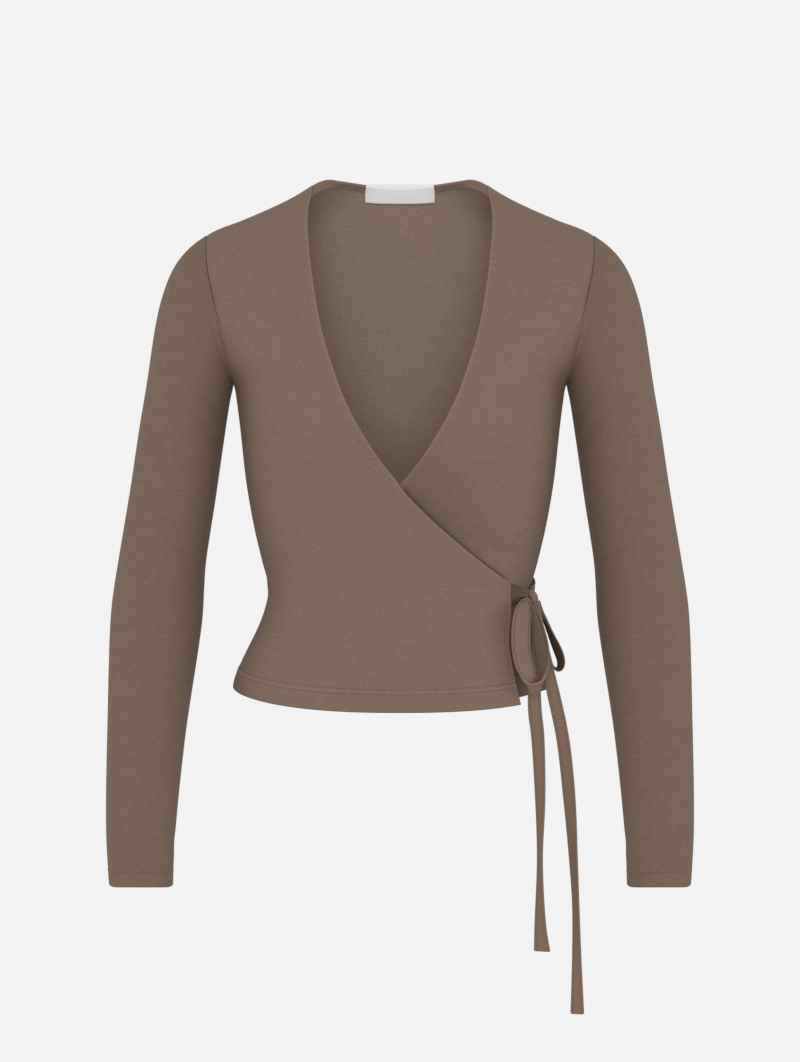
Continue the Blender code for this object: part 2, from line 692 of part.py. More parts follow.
def sleeve_ring(at):
    """A section of the right sleeve, at a row or part of a row of its table."""
    places = np.arange(len(SLEEVE["outer"]), dtype=float)
    size = {name: smooth(places, values, np.float64(at)) for name, values in SLEEVE.items()}
    around = 2 * np.pi * np.arange(2 * ARM_ROWS) / (2 * ARM_ROWS)
    outer = np.array([-size["outer"], size["outer_height"]])
    inner = np.array([-size["inner"], size["inner_height"]])
    middle, reach = (outer + inner) / 2, (outer - inner) / 2
    flat = middle + np.cos(around)[:, None] * reach
    y_middle, y_reach = (size["y_back"] + size["y_front"]) / 2, (size["y_back"] - size["y_front"]) / 2
    return np.stack([flat[:, 0], y_middle - y_reach * np.sin(around), flat[:, 1]], axis=-1)


def tube_normals(grid):
    around = np.roll(grid, -1, axis=1) - np.roll(grid, 1, axis=1)
    along = np.gradient(grid, axis=0)
    return unit(np.cross(along, around))


def make_sleeves():
    last = len(SLEEVE["outer"]) - 1
    rings = [sleeve_ring(at) for at in np.linspace(0, last, SLEEVE_RINGS)]
    outer = np.array([cloth_point(*armhole_loop()), *rings])
    normals = tube_normals(outer)
    normals[0] = armhole_normals()
    inner = outer - normals * CLOTH
    pull_back((outer, inner), "first row", SEAM_GAP / 2)
    mirror = np.array([-1, 1, 1])
    add_wall("sleeve_right", outer, inner, is_tube=True)
    add_wall("sleeve_left", outer * mirror, inner * mirror, is_tube=True)


# ---------------------------------------------------------------- neck band and label


def even_points(line, start_x, end_x, count):
    """Points spaced evenly along a line, between two places across it."""
    at = np.interp([-start_x, -end_x], -line[:, 0], np.arange(len(line)))
    dense = np.linspace(*at, 400)
    line = np.stack([np.interp(dense, np.arange(len(line)), axis) for axis in line.T], axis=-1)
    lengths = np.concatenate([[0], np.cumsum(np.linalg.norm(np.diff(line, axis=0), axis=1))])
    places = np.linspace(0, lengths[-1], count)
    return np.stack([np.interp(places, lengths, axis) for axis in line.T], axis=-1)


def hang_inside(panel, edge, depths, insets, direction=None):
    """Layers of points that hang inside a panel, in rows at the depths below a line at its edge.

    The rows run square to the line, or in a given direction.
    """
    tree = BVHTree.FromPolygons(panel.reshape(-1, 3).tolist(), grid_triangles(panel).tolist())
    tangents = np.gradient(edge, axis=0)
    layers = np.zeros((len(insets), len(depths), len(edge), 3))
    for column, (point, tangent) in enumerate(zip(edge, tangents)):
        facing = np.array(tree.find_nearest(point)[1])
        away = unit(np.cross(facing, tangent)) if direction is None else direction
        for row, depth in enumerate(depths):
            depth = np.broadcast_to(depth, len(edge))[column]
            found, normal, _, _ = tree.find_nearest(point + away * max(depth, 0))
            for layer, inset in enumerate(insets):
                layers[layer, row, column] = found + normal * inset
                layers[layer, row, column] += away * min(depth, 0)
    return layers


def make_neck_trim(panel):
    """The band and the label hang inside the back panel, from its neck edge."""
    edge = even_points(panel[-1], BAND_HALF_WIDTH, -BAND_HALF_WIDTH, BAND_COLUMNS + 1)
    depths = (0.0, BAND_DEPTH / 2, BAND_DEPTH)
    add_wall("back_neck_band", *hang_inside(panel, edge, depths, (SEAM_GAP, SEAM_GAP + BAND_CLOTH)))

    edge = even_points(panel[-1], LABEL_WIDTH / 2, -LABEL_WIDTH / 2, LABEL_COLUMNS + 1)
    above = edge[:, 2] - (np.max(edge[:, 2]) + LABEL_LIFT)
    depths = (above, 0.0, BAND_DEPTH, LABEL_DEPTH + above)
    over_band = SEAM_GAP + BAND_CLOTH + LABEL_GAP
    down = np.array([0.0, 0.0, -1.0])
    layers = hang_inside(panel, edge, depths, (over_band, over_band + LABEL_CLOTH), down)
    add_wall("neck_label", *layers, colour=LABEL_CREAM, roughness=0.6)


# ---------------------------------------------------------------- ties


def add_ribbon(name, edge, other, thickness=TIE_CLOTH, across_columns=2):
    """A strip between two edge curves, thickened evenly to both of its faces."""
    share = np.linspace(0, 1, across_columns + 1)[None, :, None]
    middle = edge[:, None] * (1 - share) + other[:, None] * share
    along = np.gradient(middle, axis=0)
    normals = unit(np.cross(along, other[:, None] - edge[:, None]))
    add_wall(name, middle + normals * thickness / 2, middle - normals * thickness / 2)


def ribbon_edges(source, steps_a_row=2):
    """Both edges of a ribbon, as smooth curves through the rows of its table."""
    places = np.arange(len(source["x"]), dtype=float)
    at = np.linspace(0, places[-1], int(places[-1]) * steps_a_row + 1)
    curves = {name: smooth(places, values, at) for name, values in source.items()}
    edge = np.stack([curves["x"], curves["y"], curves["height"]], axis=-1)
    other = np.stack([curves["x_other"], curves["y_other"], curves["height_other"]], axis=-1)
    return edge, other


def make_tie_outer():
    turns = np.radians(TIE_OUTER["turn"])
    top = cloth_point(turns, TIE_OUTER["top"], TIE_OUTER["out"] - TIE_CLOTH / 2)
    bottom = cloth_point(turns, TIE_OUTER["bottom"], TIE_OUTER["out"] - TIE_CLOTH / 2)
    add_ribbon("tie_outer", top, bottom)


def make_tie_under():
    """The tie runs inside from its corner, out through the slit and round the back waist."""
    degrees = -TIE_UNDER["turn"]
    round_the_back = np.arange(105, 258, TIE_STEP)
    at = np.concatenate([degrees[degrees < 105], round_the_back, degrees[degrees >= 258]])
    middle, width, out = (np.interp(at, degrees, TIE_UNDER[size]) for size in ("middle", "width", "out"))
    turns, out = np.radians(-at), out - TIE_CLOTH / 2
    top, bottom = (cloth_point(turns, middle + side * width / 2, out) for side in (1, -1))
    add_ribbon("tie_under", top, bottom)


def make_knot():
    shape = bmesh.new()
    bmesh.ops.create_uvsphere(shape, u_segments=14, v_segments=9, radius=1.0)
    bmesh.ops.scale(shape, vec=KNOT_RADII, verts=shape.verts)
    mesh = bpy.data.meshes.new("tie_knot")
    shape.to_mesh(mesh)
    shape.free()
    knot = add_object("tie_knot", mesh)
    knot.location = KNOT_CENTRE
    knot.rotation_euler = (0, KNOT_LEAN, 0)


def make_bow():
    ribbons = {
        "bow_loop_front": LOOP_FRONT,
        "bow_loop_side": LOOP_SIDE,
        "tie_tail_short": TAIL_SHORT,
        "tie_tail_long": TAIL_LONG,
    }
    for name, source in ribbons.items():
        add_ribbon(name, *ribbon_edges(source))


def main():
    for existing in list(bpy.data.objects):
        bpy.data.objects.remove(existing, do_unlink=True)
    bpy.context.scene.collection.children.link(bpy.data.collections.new(COLLECTION))
    make_outer_front()
    make_under_front()
    back = make_back()
    make_sleeves()
    make_neck_trim(back)
    make_tie_outer()
    make_tie_under()
    make_knot()
    make_bow()


main()
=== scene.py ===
"""The looks of a fitted wrap top with long sleeves and a side tie, filled out as if it were worn.

Metres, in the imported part's frame: +Z up, the wearer faces -Y, and the wearer's left is +X.
Every panel lies on one body form, named by a turn about the upright axis (0 is the middle of
the front, +90 degrees the wearer's left) and a height.
"""

import math

import bmesh
import bpy
import numpy as np
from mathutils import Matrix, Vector
from mathutils.bvhtree import BVHTree


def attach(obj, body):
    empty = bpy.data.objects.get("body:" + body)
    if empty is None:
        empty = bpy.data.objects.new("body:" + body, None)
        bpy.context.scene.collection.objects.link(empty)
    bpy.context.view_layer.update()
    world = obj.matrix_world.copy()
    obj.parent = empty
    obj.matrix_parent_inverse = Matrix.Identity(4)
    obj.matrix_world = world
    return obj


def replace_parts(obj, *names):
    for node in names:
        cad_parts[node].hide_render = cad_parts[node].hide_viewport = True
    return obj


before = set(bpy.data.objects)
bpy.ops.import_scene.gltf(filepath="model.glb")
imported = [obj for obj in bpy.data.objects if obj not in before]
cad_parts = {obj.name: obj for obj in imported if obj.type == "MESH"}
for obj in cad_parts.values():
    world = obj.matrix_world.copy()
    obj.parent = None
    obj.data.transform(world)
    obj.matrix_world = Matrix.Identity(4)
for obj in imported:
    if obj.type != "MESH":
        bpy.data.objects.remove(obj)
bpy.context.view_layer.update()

MM = 0.001

# -------- sizes of the garment

UNDERARM = -0.1814
SIDE_HEM = -0.4570
HEM_DROP = 0.0188
HEM_POWER = 1.25
UNDER_HEM_LIFT = 0.0048
CLOTH = 0.0012
LAYER_GAP = 0.0010
MEAN_RADIUS = 0.115
SECTION_POWER = 2.4
SHOULDER_BEND = 0.040
BUST_OUT = 0.0165
BUST_X = 0.080
BUST_HEIGHT = -0.2300
BUST_HALF_WIDTH = 0.050
BUST_ABOVE = 0.070
BUST_BELOW = 0.040
ARM_FRONT = 0.62
ARM_BACK = 0.55
ARM_ROUND = 0.055
FLARE_FROM = 0.35
TIE_HEIGHT = -0.3660
CINCH_DEPTH = 0.0022
CINCH_HALF_HEIGHT = 0.0130
CINCH_FADE = 0.2
HIGH_POINT_X = 0.0790
CORNER_HEIGHT = -0.3619


def table(columns, *rows):
    """Rows of sizes as one array for each named column."""
    return dict(zip(columns, np.array(rows, float).T))


TORSO = table(
    ("height", "right", "left", "front", "back"),
    (-0.480, 0.1515, 0.1380, 0.1040, 0.1010),
    (-0.450, 0.1492, 0.1370, 0.1015, 0.0980),
    (-0.424, 0.1379, 0.1335, 0.0990, 0.0930),
    (-0.400, 0.1262, 0.1260, 0.0960, 0.0870),
    (-0.384, 0.1208, 0.1208, 0.0940, 0.0830),
    (-0.368, 0.1197, 0.1197, 0.0925, 0.0810),
    (-0.350, 0.1228, 0.1228, 0.0920, 0.0810),
    (-0.316, 0.1307, 0.1307, 0.0935, 0.0840),
    (-0.276, 0.1379, 0.1379, 0.0985, 0.0900),
    (-0.222, 0.1440, 0.1440, 0.1020, 0.0960),
    (-0.1814, 0.1494, 0.1494, 0.0985, 0.0985),
    (-0.120, 0.1600, 0.1600, 0.0790, 0.0960),
    (-0.060, 0.1720, 0.1720, 0.0530, 0.0840),
    (0.000, 0.1850, 0.1850, 0.0290, 0.0640),
    (0.050, 0.1950, 0.1950, 0.0100, 0.0480),
)
SHOULDER = table(
    ("across", "height", "y"),
    (0.0000, 0.0460, 0.0100),
    (0.0450, 0.0190, 0.0100),
    (0.0660, 0.0046, 0.0100),
    (0.0790, -0.0048, 0.0095),
    (0.0950, -0.0150, 0.0085),
    (0.1170, -0.0260, 0.0070),
    (0.1420, -0.0369, 0.0055),
    (0.1690, -0.0478, 0.0042),
    (0.1800, -0.0545, 0.0040),
)
BACK_NECK = table(
    ("across", "height"),
    (0.0000, -0.0019),
    (0.0200, -0.0010),
    (0.0409, 0.0013),
    (0.0544, 0.0024),
    (0.0654, 0.0022),
    (0.0724, -0.0006),
    (0.0790, -0.0048),
)
ARMHOLE = table(
    ("height", "across"),
    (-0.1814, 0.1494),
    (-0.1660, 0.1532),
    (-0.1430, 0.1590),
    (-0.1130, 0.1656),
    (-0.0810, 0.1722),
    (-0.0510, 0.1742),
)
WRAP_EDGE = table(
    ("height", "across"),
    (-0.3619, 0.0982),
    (-0.3494, 0.0806),
    (-0.3344, 0.0613),
    (-0.3089, 0.0318),
    (-0.2906, 0.0130),
    (-0.2775, 0.0010),
    (-0.2584, -0.0149),
    (-0.2337, -0.0314),
    (-0.2026, -0.0479),
    (-0.1690, -0.0604),
    (-0.1395, -0.0690),
    (-0.1061, -0.0754),
    (-0.0677, -0.0804),
    (-0.0379, -0.0823),
    (-0.0253, -0.0816),
    (-0.0158, -0.0797),
    (-0.0048, -0.0790),
)
END_EDGE = table(
    ("height", "across"),
    (-0.4760, 0.1085),
    (-0.4554, 0.1037),
    (-0.4359, 0.0999),
    (-0.4165, 0.0970),
    (-0.3884, 0.0986),
    (-0.3619, 0.0982),
)
SLEEVE = table(
    ("outer", "outer_height", "inner", "inner_height", "y_front", "y_back"),
    (0.1857, -0.0585, 0.1499, -0.1836, -0.0500, 0.0520),
    (0.1966, -0.0693, 0.1502, -0.1858, -0.0520, 0.0530),
    (0.2070, -0.0864, 0.1506, -0.1882, -0.0530, 0.0530),
    (0.2170, -0.1170, 0.1513, -0.1918, -0.0525, 0.0530),
    (0.2228, -0.1494, 0.1525, -0.1970, -0.0510, 0.0525),
    (0.2280, -0.1850, 0.1544, -0.2080, -0.0490, 0.0520),
    (0.2345, -0.2230, 0.1586, -0.2360, -0.0460, 0.0515),
    (0.2430, -0.2790, 0.1667, -0.2915, -0.0408, 0.0505),
    (0.2530, -0.3380, 0.1753, -0.3480, -0.0357, 0.0500),
    (0.2600, -0.3850, 0.1778, -0.3930, -0.0355, 0.0480),
    (0.2618, -0.4300, 0.1835, -0.4370, -0.0408, 0.0400),
    (0.2622, -0.4840, 0.1911, -0.4900, -0.0490, 0.0250),
    (0.2628, -0.5410, 0.1971, -0.5450, -0.0540, 0.0120),
    (0.2622, -0.5920, 0.2012, -0.5940, -0.0570, 0.0030),
    (0.2592, -0.6332, 0.2028, -0.6332, -0.0585, -0.0015),
)

FOLD_COLUMNS = ("turn", "height", "turn_end", "height_end", "width", "depth")
FOLDS = table(  # soft hollows along straight runs on the body form, in degrees and metres
    FOLD_COLUMNS,
    (49.0, -0.376, 22.0, -0.398, 0.018, 0.0008),
    (50.0, -0.384, 30.0, -0.432, 0.018, 0.0008),
    (-66.0, -0.170, -48.0, -0.128, 0.014, 0.0022),
    (66.0, -0.170, 48.0, -0.128, 0.014, 0.0022),
    (112.0, -0.176, 132.0, -0.132, 0.014, 0.0022),
    (248.0, -0.176, 228.0, -0.132, 0.014, 0.0022),
    (-84.0, -0.356, -50.0, -0.344, 0.014, 0.0012),
    (208.0, -0.340, 150.0, -0.345, 0.016, 0.0012),
)
FINE_FOLDS = table(  # the creases that the cloth's own shape doesn't give; a ridge has a depth below 0
    FOLD_COLUMNS,
    (50.0, -0.367, 30.0, -0.372, 0.0055, 0.0006),
    (50.0, -0.373, 26.0, -0.388, 0.0060, 0.0005),
    (49.0, -0.380, 34.0, -0.408, 0.0055, 0.0005),
    (72.0, -0.366, 46.0, -0.345, 0.0060, 0.0006),
    (74.0, -0.361, 52.0, -0.328, 0.0060, 0.0005),
    (-86.0, -0.362, -58.0, -0.356, 0.0050, 0.0005),
    (-84.0, -0.372, -60.0, -0.380, 0.0055, 0.0005),
    (100.0, -0.354, 128.0, -0.348, 0.0055, 0.0006),
    (104.0, -0.378, 134.0, -0.386, 0.0060, 0.0006),
    (258.0, -0.354, 226.0, -0.350, 0.0055, 0.0006),
    (254.0, -0.379, 230.0, -0.388, 0.0055, 0.0005),
    (196.0, -0.352, 158.0, -0.356, 0.0060, 0.0005),
    (204.0, -0.325, 162.0, -0.330, 0.0080, 0.0007),
)
SLEEVE_FOLDS = table(  # degrees round from the outer line, by the front; metres from the cap
    ("angle", "along", "angle_end", "along_end", "width", "depth"),
    (170.0, 0.110, 100.0, 0.072, 0.0075, 0.0012),
    (172.0, 0.134, 112.0, 0.104, 0.0070, 0.0009),
    (192.0, 0.110, 256.0, 0.076, 0.0075, 0.0012),
    (190.0, 0.140, 246.0, 0.112, 0.0070, 0.0009),
    (60.0, 0.302, 140.0, 0.322, 0.0085, 0.0009),
    (68.0, 0.352, 150.0, 0.338, 0.0080, 0.0010),
    (84.0, 0.392, 160.0, 0.368, 0.0080, 0.0007),
    (210.0, 0.300, 282.0, 0.326, 0.0090, 0.0006),
    (40.0, 0.520, 120.0, 0.532, 0.0080, 0.0005),
    (150.0, 0.486, 250.0, 0.500, 0.0080, 0.0006),
)


# -------- curves and tables


def smooth(places, values, at):
    """The value at a place, on a smooth curve through the given values, held flat past both ends."""
    steps = np.diff(places)
    slopes = np.diff(values) / steps
    inner = (slopes[:-1] * steps[1:] + slopes[1:] * steps[:-1]) / (steps[:-1] + steps[1:])
    tangents = np.concatenate([slopes[:1], inner, slopes[-1:]])
    index = np.clip(np.searchsorted(places, at, side="right") - 1, 0, len(steps) - 1)
    t = np.clip((at - places[index]) / steps[index], 0, 1)
    return (
        values[index] * (1 + 2 * t) * (1 - t) ** 2
        + tangents[index] * steps[index] * t * (1 - t) ** 2
        + values[index + 1] * t**2 * (3 - 2 * t)
        - tangents[index + 1] * steps[index] * t**2 * (1 - t)
    )


def smooth_rows(places, rows, at):
    """smooth() for rows of points: one row for each place."""
    flat = rows.reshape(len(rows), -1)
    return np.stack([smooth(places, column, at) for column in flat.T], -1).reshape(len(at), *rows.shape[1:])


def look_up(source, column, at, by="height"):
    return smooth(source[by], source[column], np.asarray(at, float))


def ease(share):
    share = np.clip(share, 0, 1)
    return share * share * (3 - 2 * share)


def rise(value, start, length):
    """0 up to a start, then smoothly up to 1 over a length."""
    return ease((value - start) / length)


def fall(value, end, length):
    """1 until a length before an end, then smoothly down to 0."""
    return ease((end - value) / length)


def unit(vectors):
    return vectors / np.maximum(np.linalg.norm(vectors, axis=-1, keepdims=True), 1e-12)


def bell(distance, width, power=2):
    """1 at no distance, falling away over a width."""
    return np.exp(-((distance / width) ** power))


def arc(points, axis=0):
    """The length run along a line, or along a grid's rows or columns, from its first point."""
    steps = np.linalg.norm(np.diff(points, axis=axis), axis=-1)
    start = np.zeros_like(np.take(steps, [0], axis=axis))
    return np.concatenate([start, np.cumsum(steps, axis=axis)], axis=axis)


def along_line(places, run, line):
    """The values of a line at places along its run, or at one place."""
    return np.stack([np.interp(places, run, axis) for axis in line.T], axis=-1)


def even_out(line, rounds):
    """Evens out a line or a row of sizes where it stands, with its ends held."""
    for _ in range(rounds):
        line[1:-1] = (line[:-2] + 2 * line[1:-1] + line[2:]) / 4


# -------- body form

SOFTEN = 0.006  # over this far up and down the form is evened out
SOFTEN_ROOM = 0.05  # and less within this far of the shoulder seam
SEAM_ZONE = 0.008  # below the shoulder seam, where the front and the back share their normals
FOLD_FADE = 0.8  # of a fold's run between its soft ends


def soften_kernel():
    """Steps up and down, and the weight of each."""
    shares = [(step * SOFTEN * 2 / 3, math.exp(-((step * 2 / 3) ** 2) / 2)) for step in range(-3, 4)]
    total = sum(weight for _, weight in shares)
    return [(step, weight / total) for step, weight in shares]


KERNEL = soften_kernel()


def shoulder_height(x):
    return look_up(SHOULDER, "height", np.abs(x), by="across")


def armhole_sine(z, is_front):
    """The sine of the turn at which a section at this height meets the armhole."""
    share = np.clip((z - UNDERARM) / ARM_ROUND, 0, 1)
    reach = np.where(is_front, ARM_FRONT, ARM_BACK) * np.sqrt(1 - (1 - share) ** 2)
    return (1 - reach**2) ** (1 / SECTION_POWER)


def half_width(turn, z):
    is_left = np.sin(turn) > 0
    plain = np.where(is_left, look_up(TORSO, "left", z), look_up(TORSO, "right", z))
    edge_sine = armhole_sine(z, np.cos(turn) > 0)
    edge_width = look_up(ARMHOLE, "across", z) / edge_sine
    share = ease((np.abs(np.sin(turn)) - FLARE_FROM) / (edge_sine - FLARE_FROM))
    return np.where(z > UNDERARM, plain + (edge_width - plain) * share, plain)


def across(turn, z):
    return half_width(turn, z) * np.sin(turn)


def bust(x, z):
    side = (np.abs(x) - BUST_X) / BUST_HALF_WIDTH
    rise = (z - BUST_HEIGHT) / np.where(z > BUST_HEIGHT, BUST_ABOVE, BUST_BELOW)
    return BUST_OUT * np.exp(-(side**2) - rise**2)


def plain_form(turn, z):
    x = across(turn, z)
    depth = np.maximum(0, 1 - np.abs(np.sin(turn)) ** SECTION_POWER) ** 0.5
    front = look_up(TORSO, "front", z) * depth + bust(x, z) * ease(depth * 2)
    y = np.where(np.cos(turn) > 0, -front, look_up(TORSO, "back", z) * depth)
    share = np.clip((shoulder_height(x) - z) / SHOULDER_BEND, 0, 1)
    seam_y = look_up(SHOULDER, "y", np.abs(x), by="across")
    y = seam_y + (y - seam_y) * np.sqrt(1 - (1 - share) ** 2)
    return np.stack([x, y], axis=-1)


def form_point(turn, z):
    """The point of the body form at a turn and a height, evened out up and down over some millimetres."""
    turn, z = np.broadcast_arrays(np.asarray(turn, float), np.asarray(z, float))
    room = np.clip((shoulder_height(across(turn, z)) - z) / SOFTEN_ROOM, 0, 1)
    flat = sum(weight * plain_form(turn, z + step * room) for step, weight in KERNEL)
    return np.concatenate([flat, z[..., None]], axis=-1)


def form_normal(turn, z):
    """The outward normal of the body form. At the shoulder seam both sides share one."""
    step_turn, step_z, step_x = 1e-4, 2e-4, 1e-3
    along = form_point(turn + step_turn, z) - form_point(turn - step_turn, z)
    up = form_point(turn, z) - form_point(turn, z - step_z)
    plain = unit(np.cross(along, up))
    x = across(turn, z)
    slope = (shoulder_height(np.abs(x) + step_x) - shoulder_height(np.abs(x) - step_x)) / (2 * step_x)
    seam = unit(np.stack([-slope * np.sign(x), np.zeros_like(x), np.ones_like(x)], axis=-1))
    share = ease((shoulder_height(x) - z) / SEAM_ZONE)[..., None]
    return unit(seam * (1 - share) + plain * share)


def troughs(source, degrees, rise, radius):
    """How deep the hollows of a table of folds are at places round and along a form."""
    total = np.zeros(np.broadcast(degrees, rise).shape)
    for start, low, end, high, width, depth in zip(*source.values()):
        sideways = np.radians((degrees - start + 180) % 360 - 180) * radius
        run = (math.radians(end - start) * radius, high - low)
        length = math.hypot(*run)
        along = (sideways * run[0] + (rise - low) * run[1]) / length**2
        off = (sideways * run[1] - (rise - low) * run[0]) / length
        fade = np.sin(np.pi * np.clip(along * FOLD_FADE + (1 - FOLD_FADE) / 2, 0, 1)) ** 2
        total += depth * fade * bell(off, width)
    return total


def fold_depth(turn, z):
    """How deep the folds and the tie's pull sink the cloth into the form."""
    degrees = np.degrees(turn)
    is_tied = ease(1 - np.cos(turn) / CINCH_FADE)
    cinch = CINCH_DEPTH * is_tied * bell(z - TIE_HEIGHT, CINCH_HALF_HEIGHT)
    folds = troughs(FOLDS, degrees, z, MEAN_RADIUS) + troughs(FINE_FOLDS, degrees, z, MEAN_RADIUS)
    return cinch + folds


def cloth_point(turn, z, out=0.0):
    """A point of the cloth, moved out from the body form."""
    turn, z, out = np.broadcast_arrays(turn, z, out)
    return form_point(turn, z) + form_normal(turn, z) * (out - fold_depth(turn, z))[..., None]


# -------- rows and edges


SETTLE_ROUNDS = 9
HALVINGS = 40
NORMAL_ROUNDS = 6


def back_top(x):
    neck = look_up(BACK_NECK, "height", np.abs(x), by="across")
    return np.where(np.abs(x) < HIGH_POINT_X, np.minimum(neck, shoulder_height(x)), shoulder_height(x))


def hem_height(turn):
    depth = np.maximum(0, 1 - np.abs(np.sin(turn)) ** SECTION_POWER) ** 0.5
    return SIDE_HEM - HEM_DROP * depth**HEM_POWER


def outer_hem_height(turn):
    share = np.abs(across(turn, SIDE_HEM)) / half_width(-np.pi / 2, SIDE_HEM)
    depth = np.maximum(0, 1 - share**SECTION_POWER) ** 0.5
    return SIDE_HEM - HEM_DROP * depth**HEM_POWER


def under_hem_height(turn):
    return hem_height(turn) + UNDER_HEM_LIFT * ease(2 * np.abs(np.cos(turn)))


def level_height(turn, level, hem, top):
    """The height of a row's level at a turn: 0 is the hem, 1 the underarm and 2 the top."""
    low = hem(turn)
    z = low + (UNDERARM - low) * np.clip(level, 0, 1)
    upper = np.clip(level - 1, 0, 1)
    for _ in range(SETTLE_ROUNDS):
        z = np.where(level > 1, UNDERARM + (top(across(turn, z)) - UNDERARM) * upper, z)
    return z


def armhole_turn(level, is_front):
    """The turn, from the middle of its own panel, at which a row above the underarm ends."""
    z = np.full(np.shape(level), UNDERARM)
    for _ in range(SETTLE_ROUNDS):
        top = shoulder_height(look_up(ARMHOLE, "across", z))
        z = UNDERARM + (top - UNDERARM) * np.clip(level - 1, 0, 1)
    return np.where(level > 1, np.arcsin(armhole_sine(z, is_front)), np.pi / 2)


def free_edge(z):
    wrap = look_up(WRAP_EDGE, "across", z)
    return np.where(z < CORNER_HEIGHT, look_up(END_EDGE, "across", z), wrap)


FURTHEST_TURN = 1.4  # a front's free edge lies short of this, in radians


def solve_turn(miss, low, high):
    """The turn between two others at which a rising function of it is zero."""
    low, high = np.array(low, float), np.array(high, float)
    for _ in range(HALVINGS):
        middle = (low + high) / 2
        is_past = miss(middle) > 0
        high = np.where(is_past, middle, high)
        low = np.where(is_past, low, middle)
    return (low + high) / 2


def outer_edge_turn(z):
    lowest = np.full(np.shape(z), -1.0)
    return solve_turn(lambda turn: across(turn, z) - free_edge(z), lowest, FURTHEST_TURN)


def beyond_wrap(turn, z):
    """How far past the outer front's free edge a place is."""
    lowest, rows = -0.49, 400
    heights = np.linspace(lowest, 0.0, rows)
    return (turn - np.interp(z, heights, outer_edge_turn(heights))) * MEAN_RADIUS


def under_inset(turn, z):
    """How deep the under front lies: beneath the outer front, and level with it past its edge."""
    margin, fade = 0.020, 0.042
    return (CLOTH + LAYER_GAP) * (1 - ease((beyond_wrap(turn, z) - margin) / fade))


# -------- spacing of the fine grids

ROLL = [0.0, 0.04, 0.16, 0.36, 0.62, 0.90]  # millimetres from a turned edge
SEAM = [0.0, 0.25, 0.6, 1.05, 1.6, 2.3, 3.2, 4.4]  # millimetres from a seam
EDGE = ROLL + [1.3, 1.8, 2.4, 2.75, 3.1, 3.45, 3.8, 4.3, 4.65, 5.0, 5.35, 5.8, 6.8, 8.2, 10.0, 12.2]
CORNER = [0.0, 0.4, 1.0, 1.8, 2.8, 4.0, 5.4, 7.0]  # millimetres above and below a front's corner
CORNER_ROOM = 0.8  # millimetres from those rows to the next plain one
HEM_FINE = 0.0285
HEM_PLACES = np.concatenate([
    np.arange(0.0014, 0.0136, 0.0009), np.arange(0.0136, 0.0216, 0.0003), np.arange(0.0216, HEM_FINE, 0.0009)
])
PLAIN_STEP = 0.0030
ARM_STEPS = 44


def arm_shares():
    """Places down an armhole from its shoulder, 0, to its underarm, 1, closer at both ends."""
    fine = np.array([0, 0.0015, 0.0038, 0.0068, 0.0108, 0.016])
    middle = np.linspace(0.0235, 1 - 0.0235, ARM_STEPS)
    return np.concatenate([fine, middle, 1 - fine[::-1]])


ARM_SHARES = arm_shares()
ARM_AROUND = np.pi * np.concatenate([ARM_SHARES, 2 - ARM_SHARES[-2:0:-1]])


def arm_levels(shares):
    return 1 + (1 - np.cos(np.pi * (1 - shares))) / 2


def row_levels(corner=None):
    """Each row's level, closer together at the hem, at the armhole's ends and at a front's corner."""
    reach = UNDERARM - SIDE_HEM
    fine = np.concatenate([np.array(ROLL) * MM, HEM_PLACES])
    plain = np.linspace(HEM_FINE, reach, int((reach - HEM_FINE) / PLAIN_STEP))
    lower = np.concatenate([fine, plain]) / reach
    if corner is not None:
        above = np.array(CORNER)
        near = corner + np.concatenate([-above[:0:-1], above]) * MM / reach
        keep = (lower < near[0] - CORNER_ROOM * MM / reach) | (lower > near[-1] + CORNER_ROOM * MM / reach)
        lower = np.sort(np.concatenate([lower[keep], near]))
    upper = arm_levels(ARM_SHARES[::-1])
    return np.concatenate([lower[:-1], upper])


def spread(total, start, end, count):
    """Distances from one end of a row to the other, with fixed ones near both ends."""
    start, end = np.asarray(start), np.asarray(end)
    middle = np.linspace(start[-1], total - end[-1], count + 1)[1:-1]
    return np.concatenate([start, middle, (total - end)[::-1]])


# -------- armhole


def armhole_loop():
    """The right armhole's turns and heights: from the shoulder down its front and up its back."""
    levels = arm_levels(ARM_SHARES)
    back_turn = np.pi + armhole_turn(levels, False)
    turns = np.concatenate([-armhole_turn(levels, True), back_turn[-2:0:-1]])
    levels = np.concatenate([levels, levels[-2:0:-1]])
    return turns, level_height(turns, levels, hem_height, shoulder_height)


def sleeve_ring(at):
    """A section of the right sleeve, at a row or part of a row of its table."""
    places = np.arange(len(SLEEVE["outer"]), dtype=float)
    size = {name: smooth(places, values, np.float64(at)) for name, values in SLEEVE.items()}
    outer = np.array([-size["outer"], size["outer_height"]])
    inner = np.array([-size["inner"], size["inner_height"]])
    middle, reach = (outer + inner) / 2, (outer - inner) / 2
    flat = middle + np.cos(ARM_AROUND)[:, None] * reach
    y_middle = (size["y_back"] + size["y_front"]) / 2
    y_reach = (size["y_back"] - size["y_front"]) / 2
    return np.stack([flat[:, 0], y_middle - y_reach * np.sin(ARM_AROUND), flat[:, 1]], axis=-1)


ARM_TURNS, ARM_HEIGHTS = armhole_loop()
ARM_LOOP = cloth_point(ARM_TURNS, ARM_HEIGHTS)


def armhole_normals():
    """At each point of the armhole, the direction halfway between a panel's and a sleeve's outsides."""
    around = np.roll(ARM_LOOP, -1, axis=0) - np.roll(ARM_LOOP, 1, axis=0)
    sleeve = unit(np.cross(sleeve_ring(0) - ARM_LOOP, around))
    between = unit(form_normal(ARM_TURNS, ARM_HEIGHTS) + sleeve)
    for _ in range(NORMAL_ROUNDS):
        between = unit(np.roll(between, 1, axis=0) + 2 * between + np.roll(between, -1, axis=0))
    return between


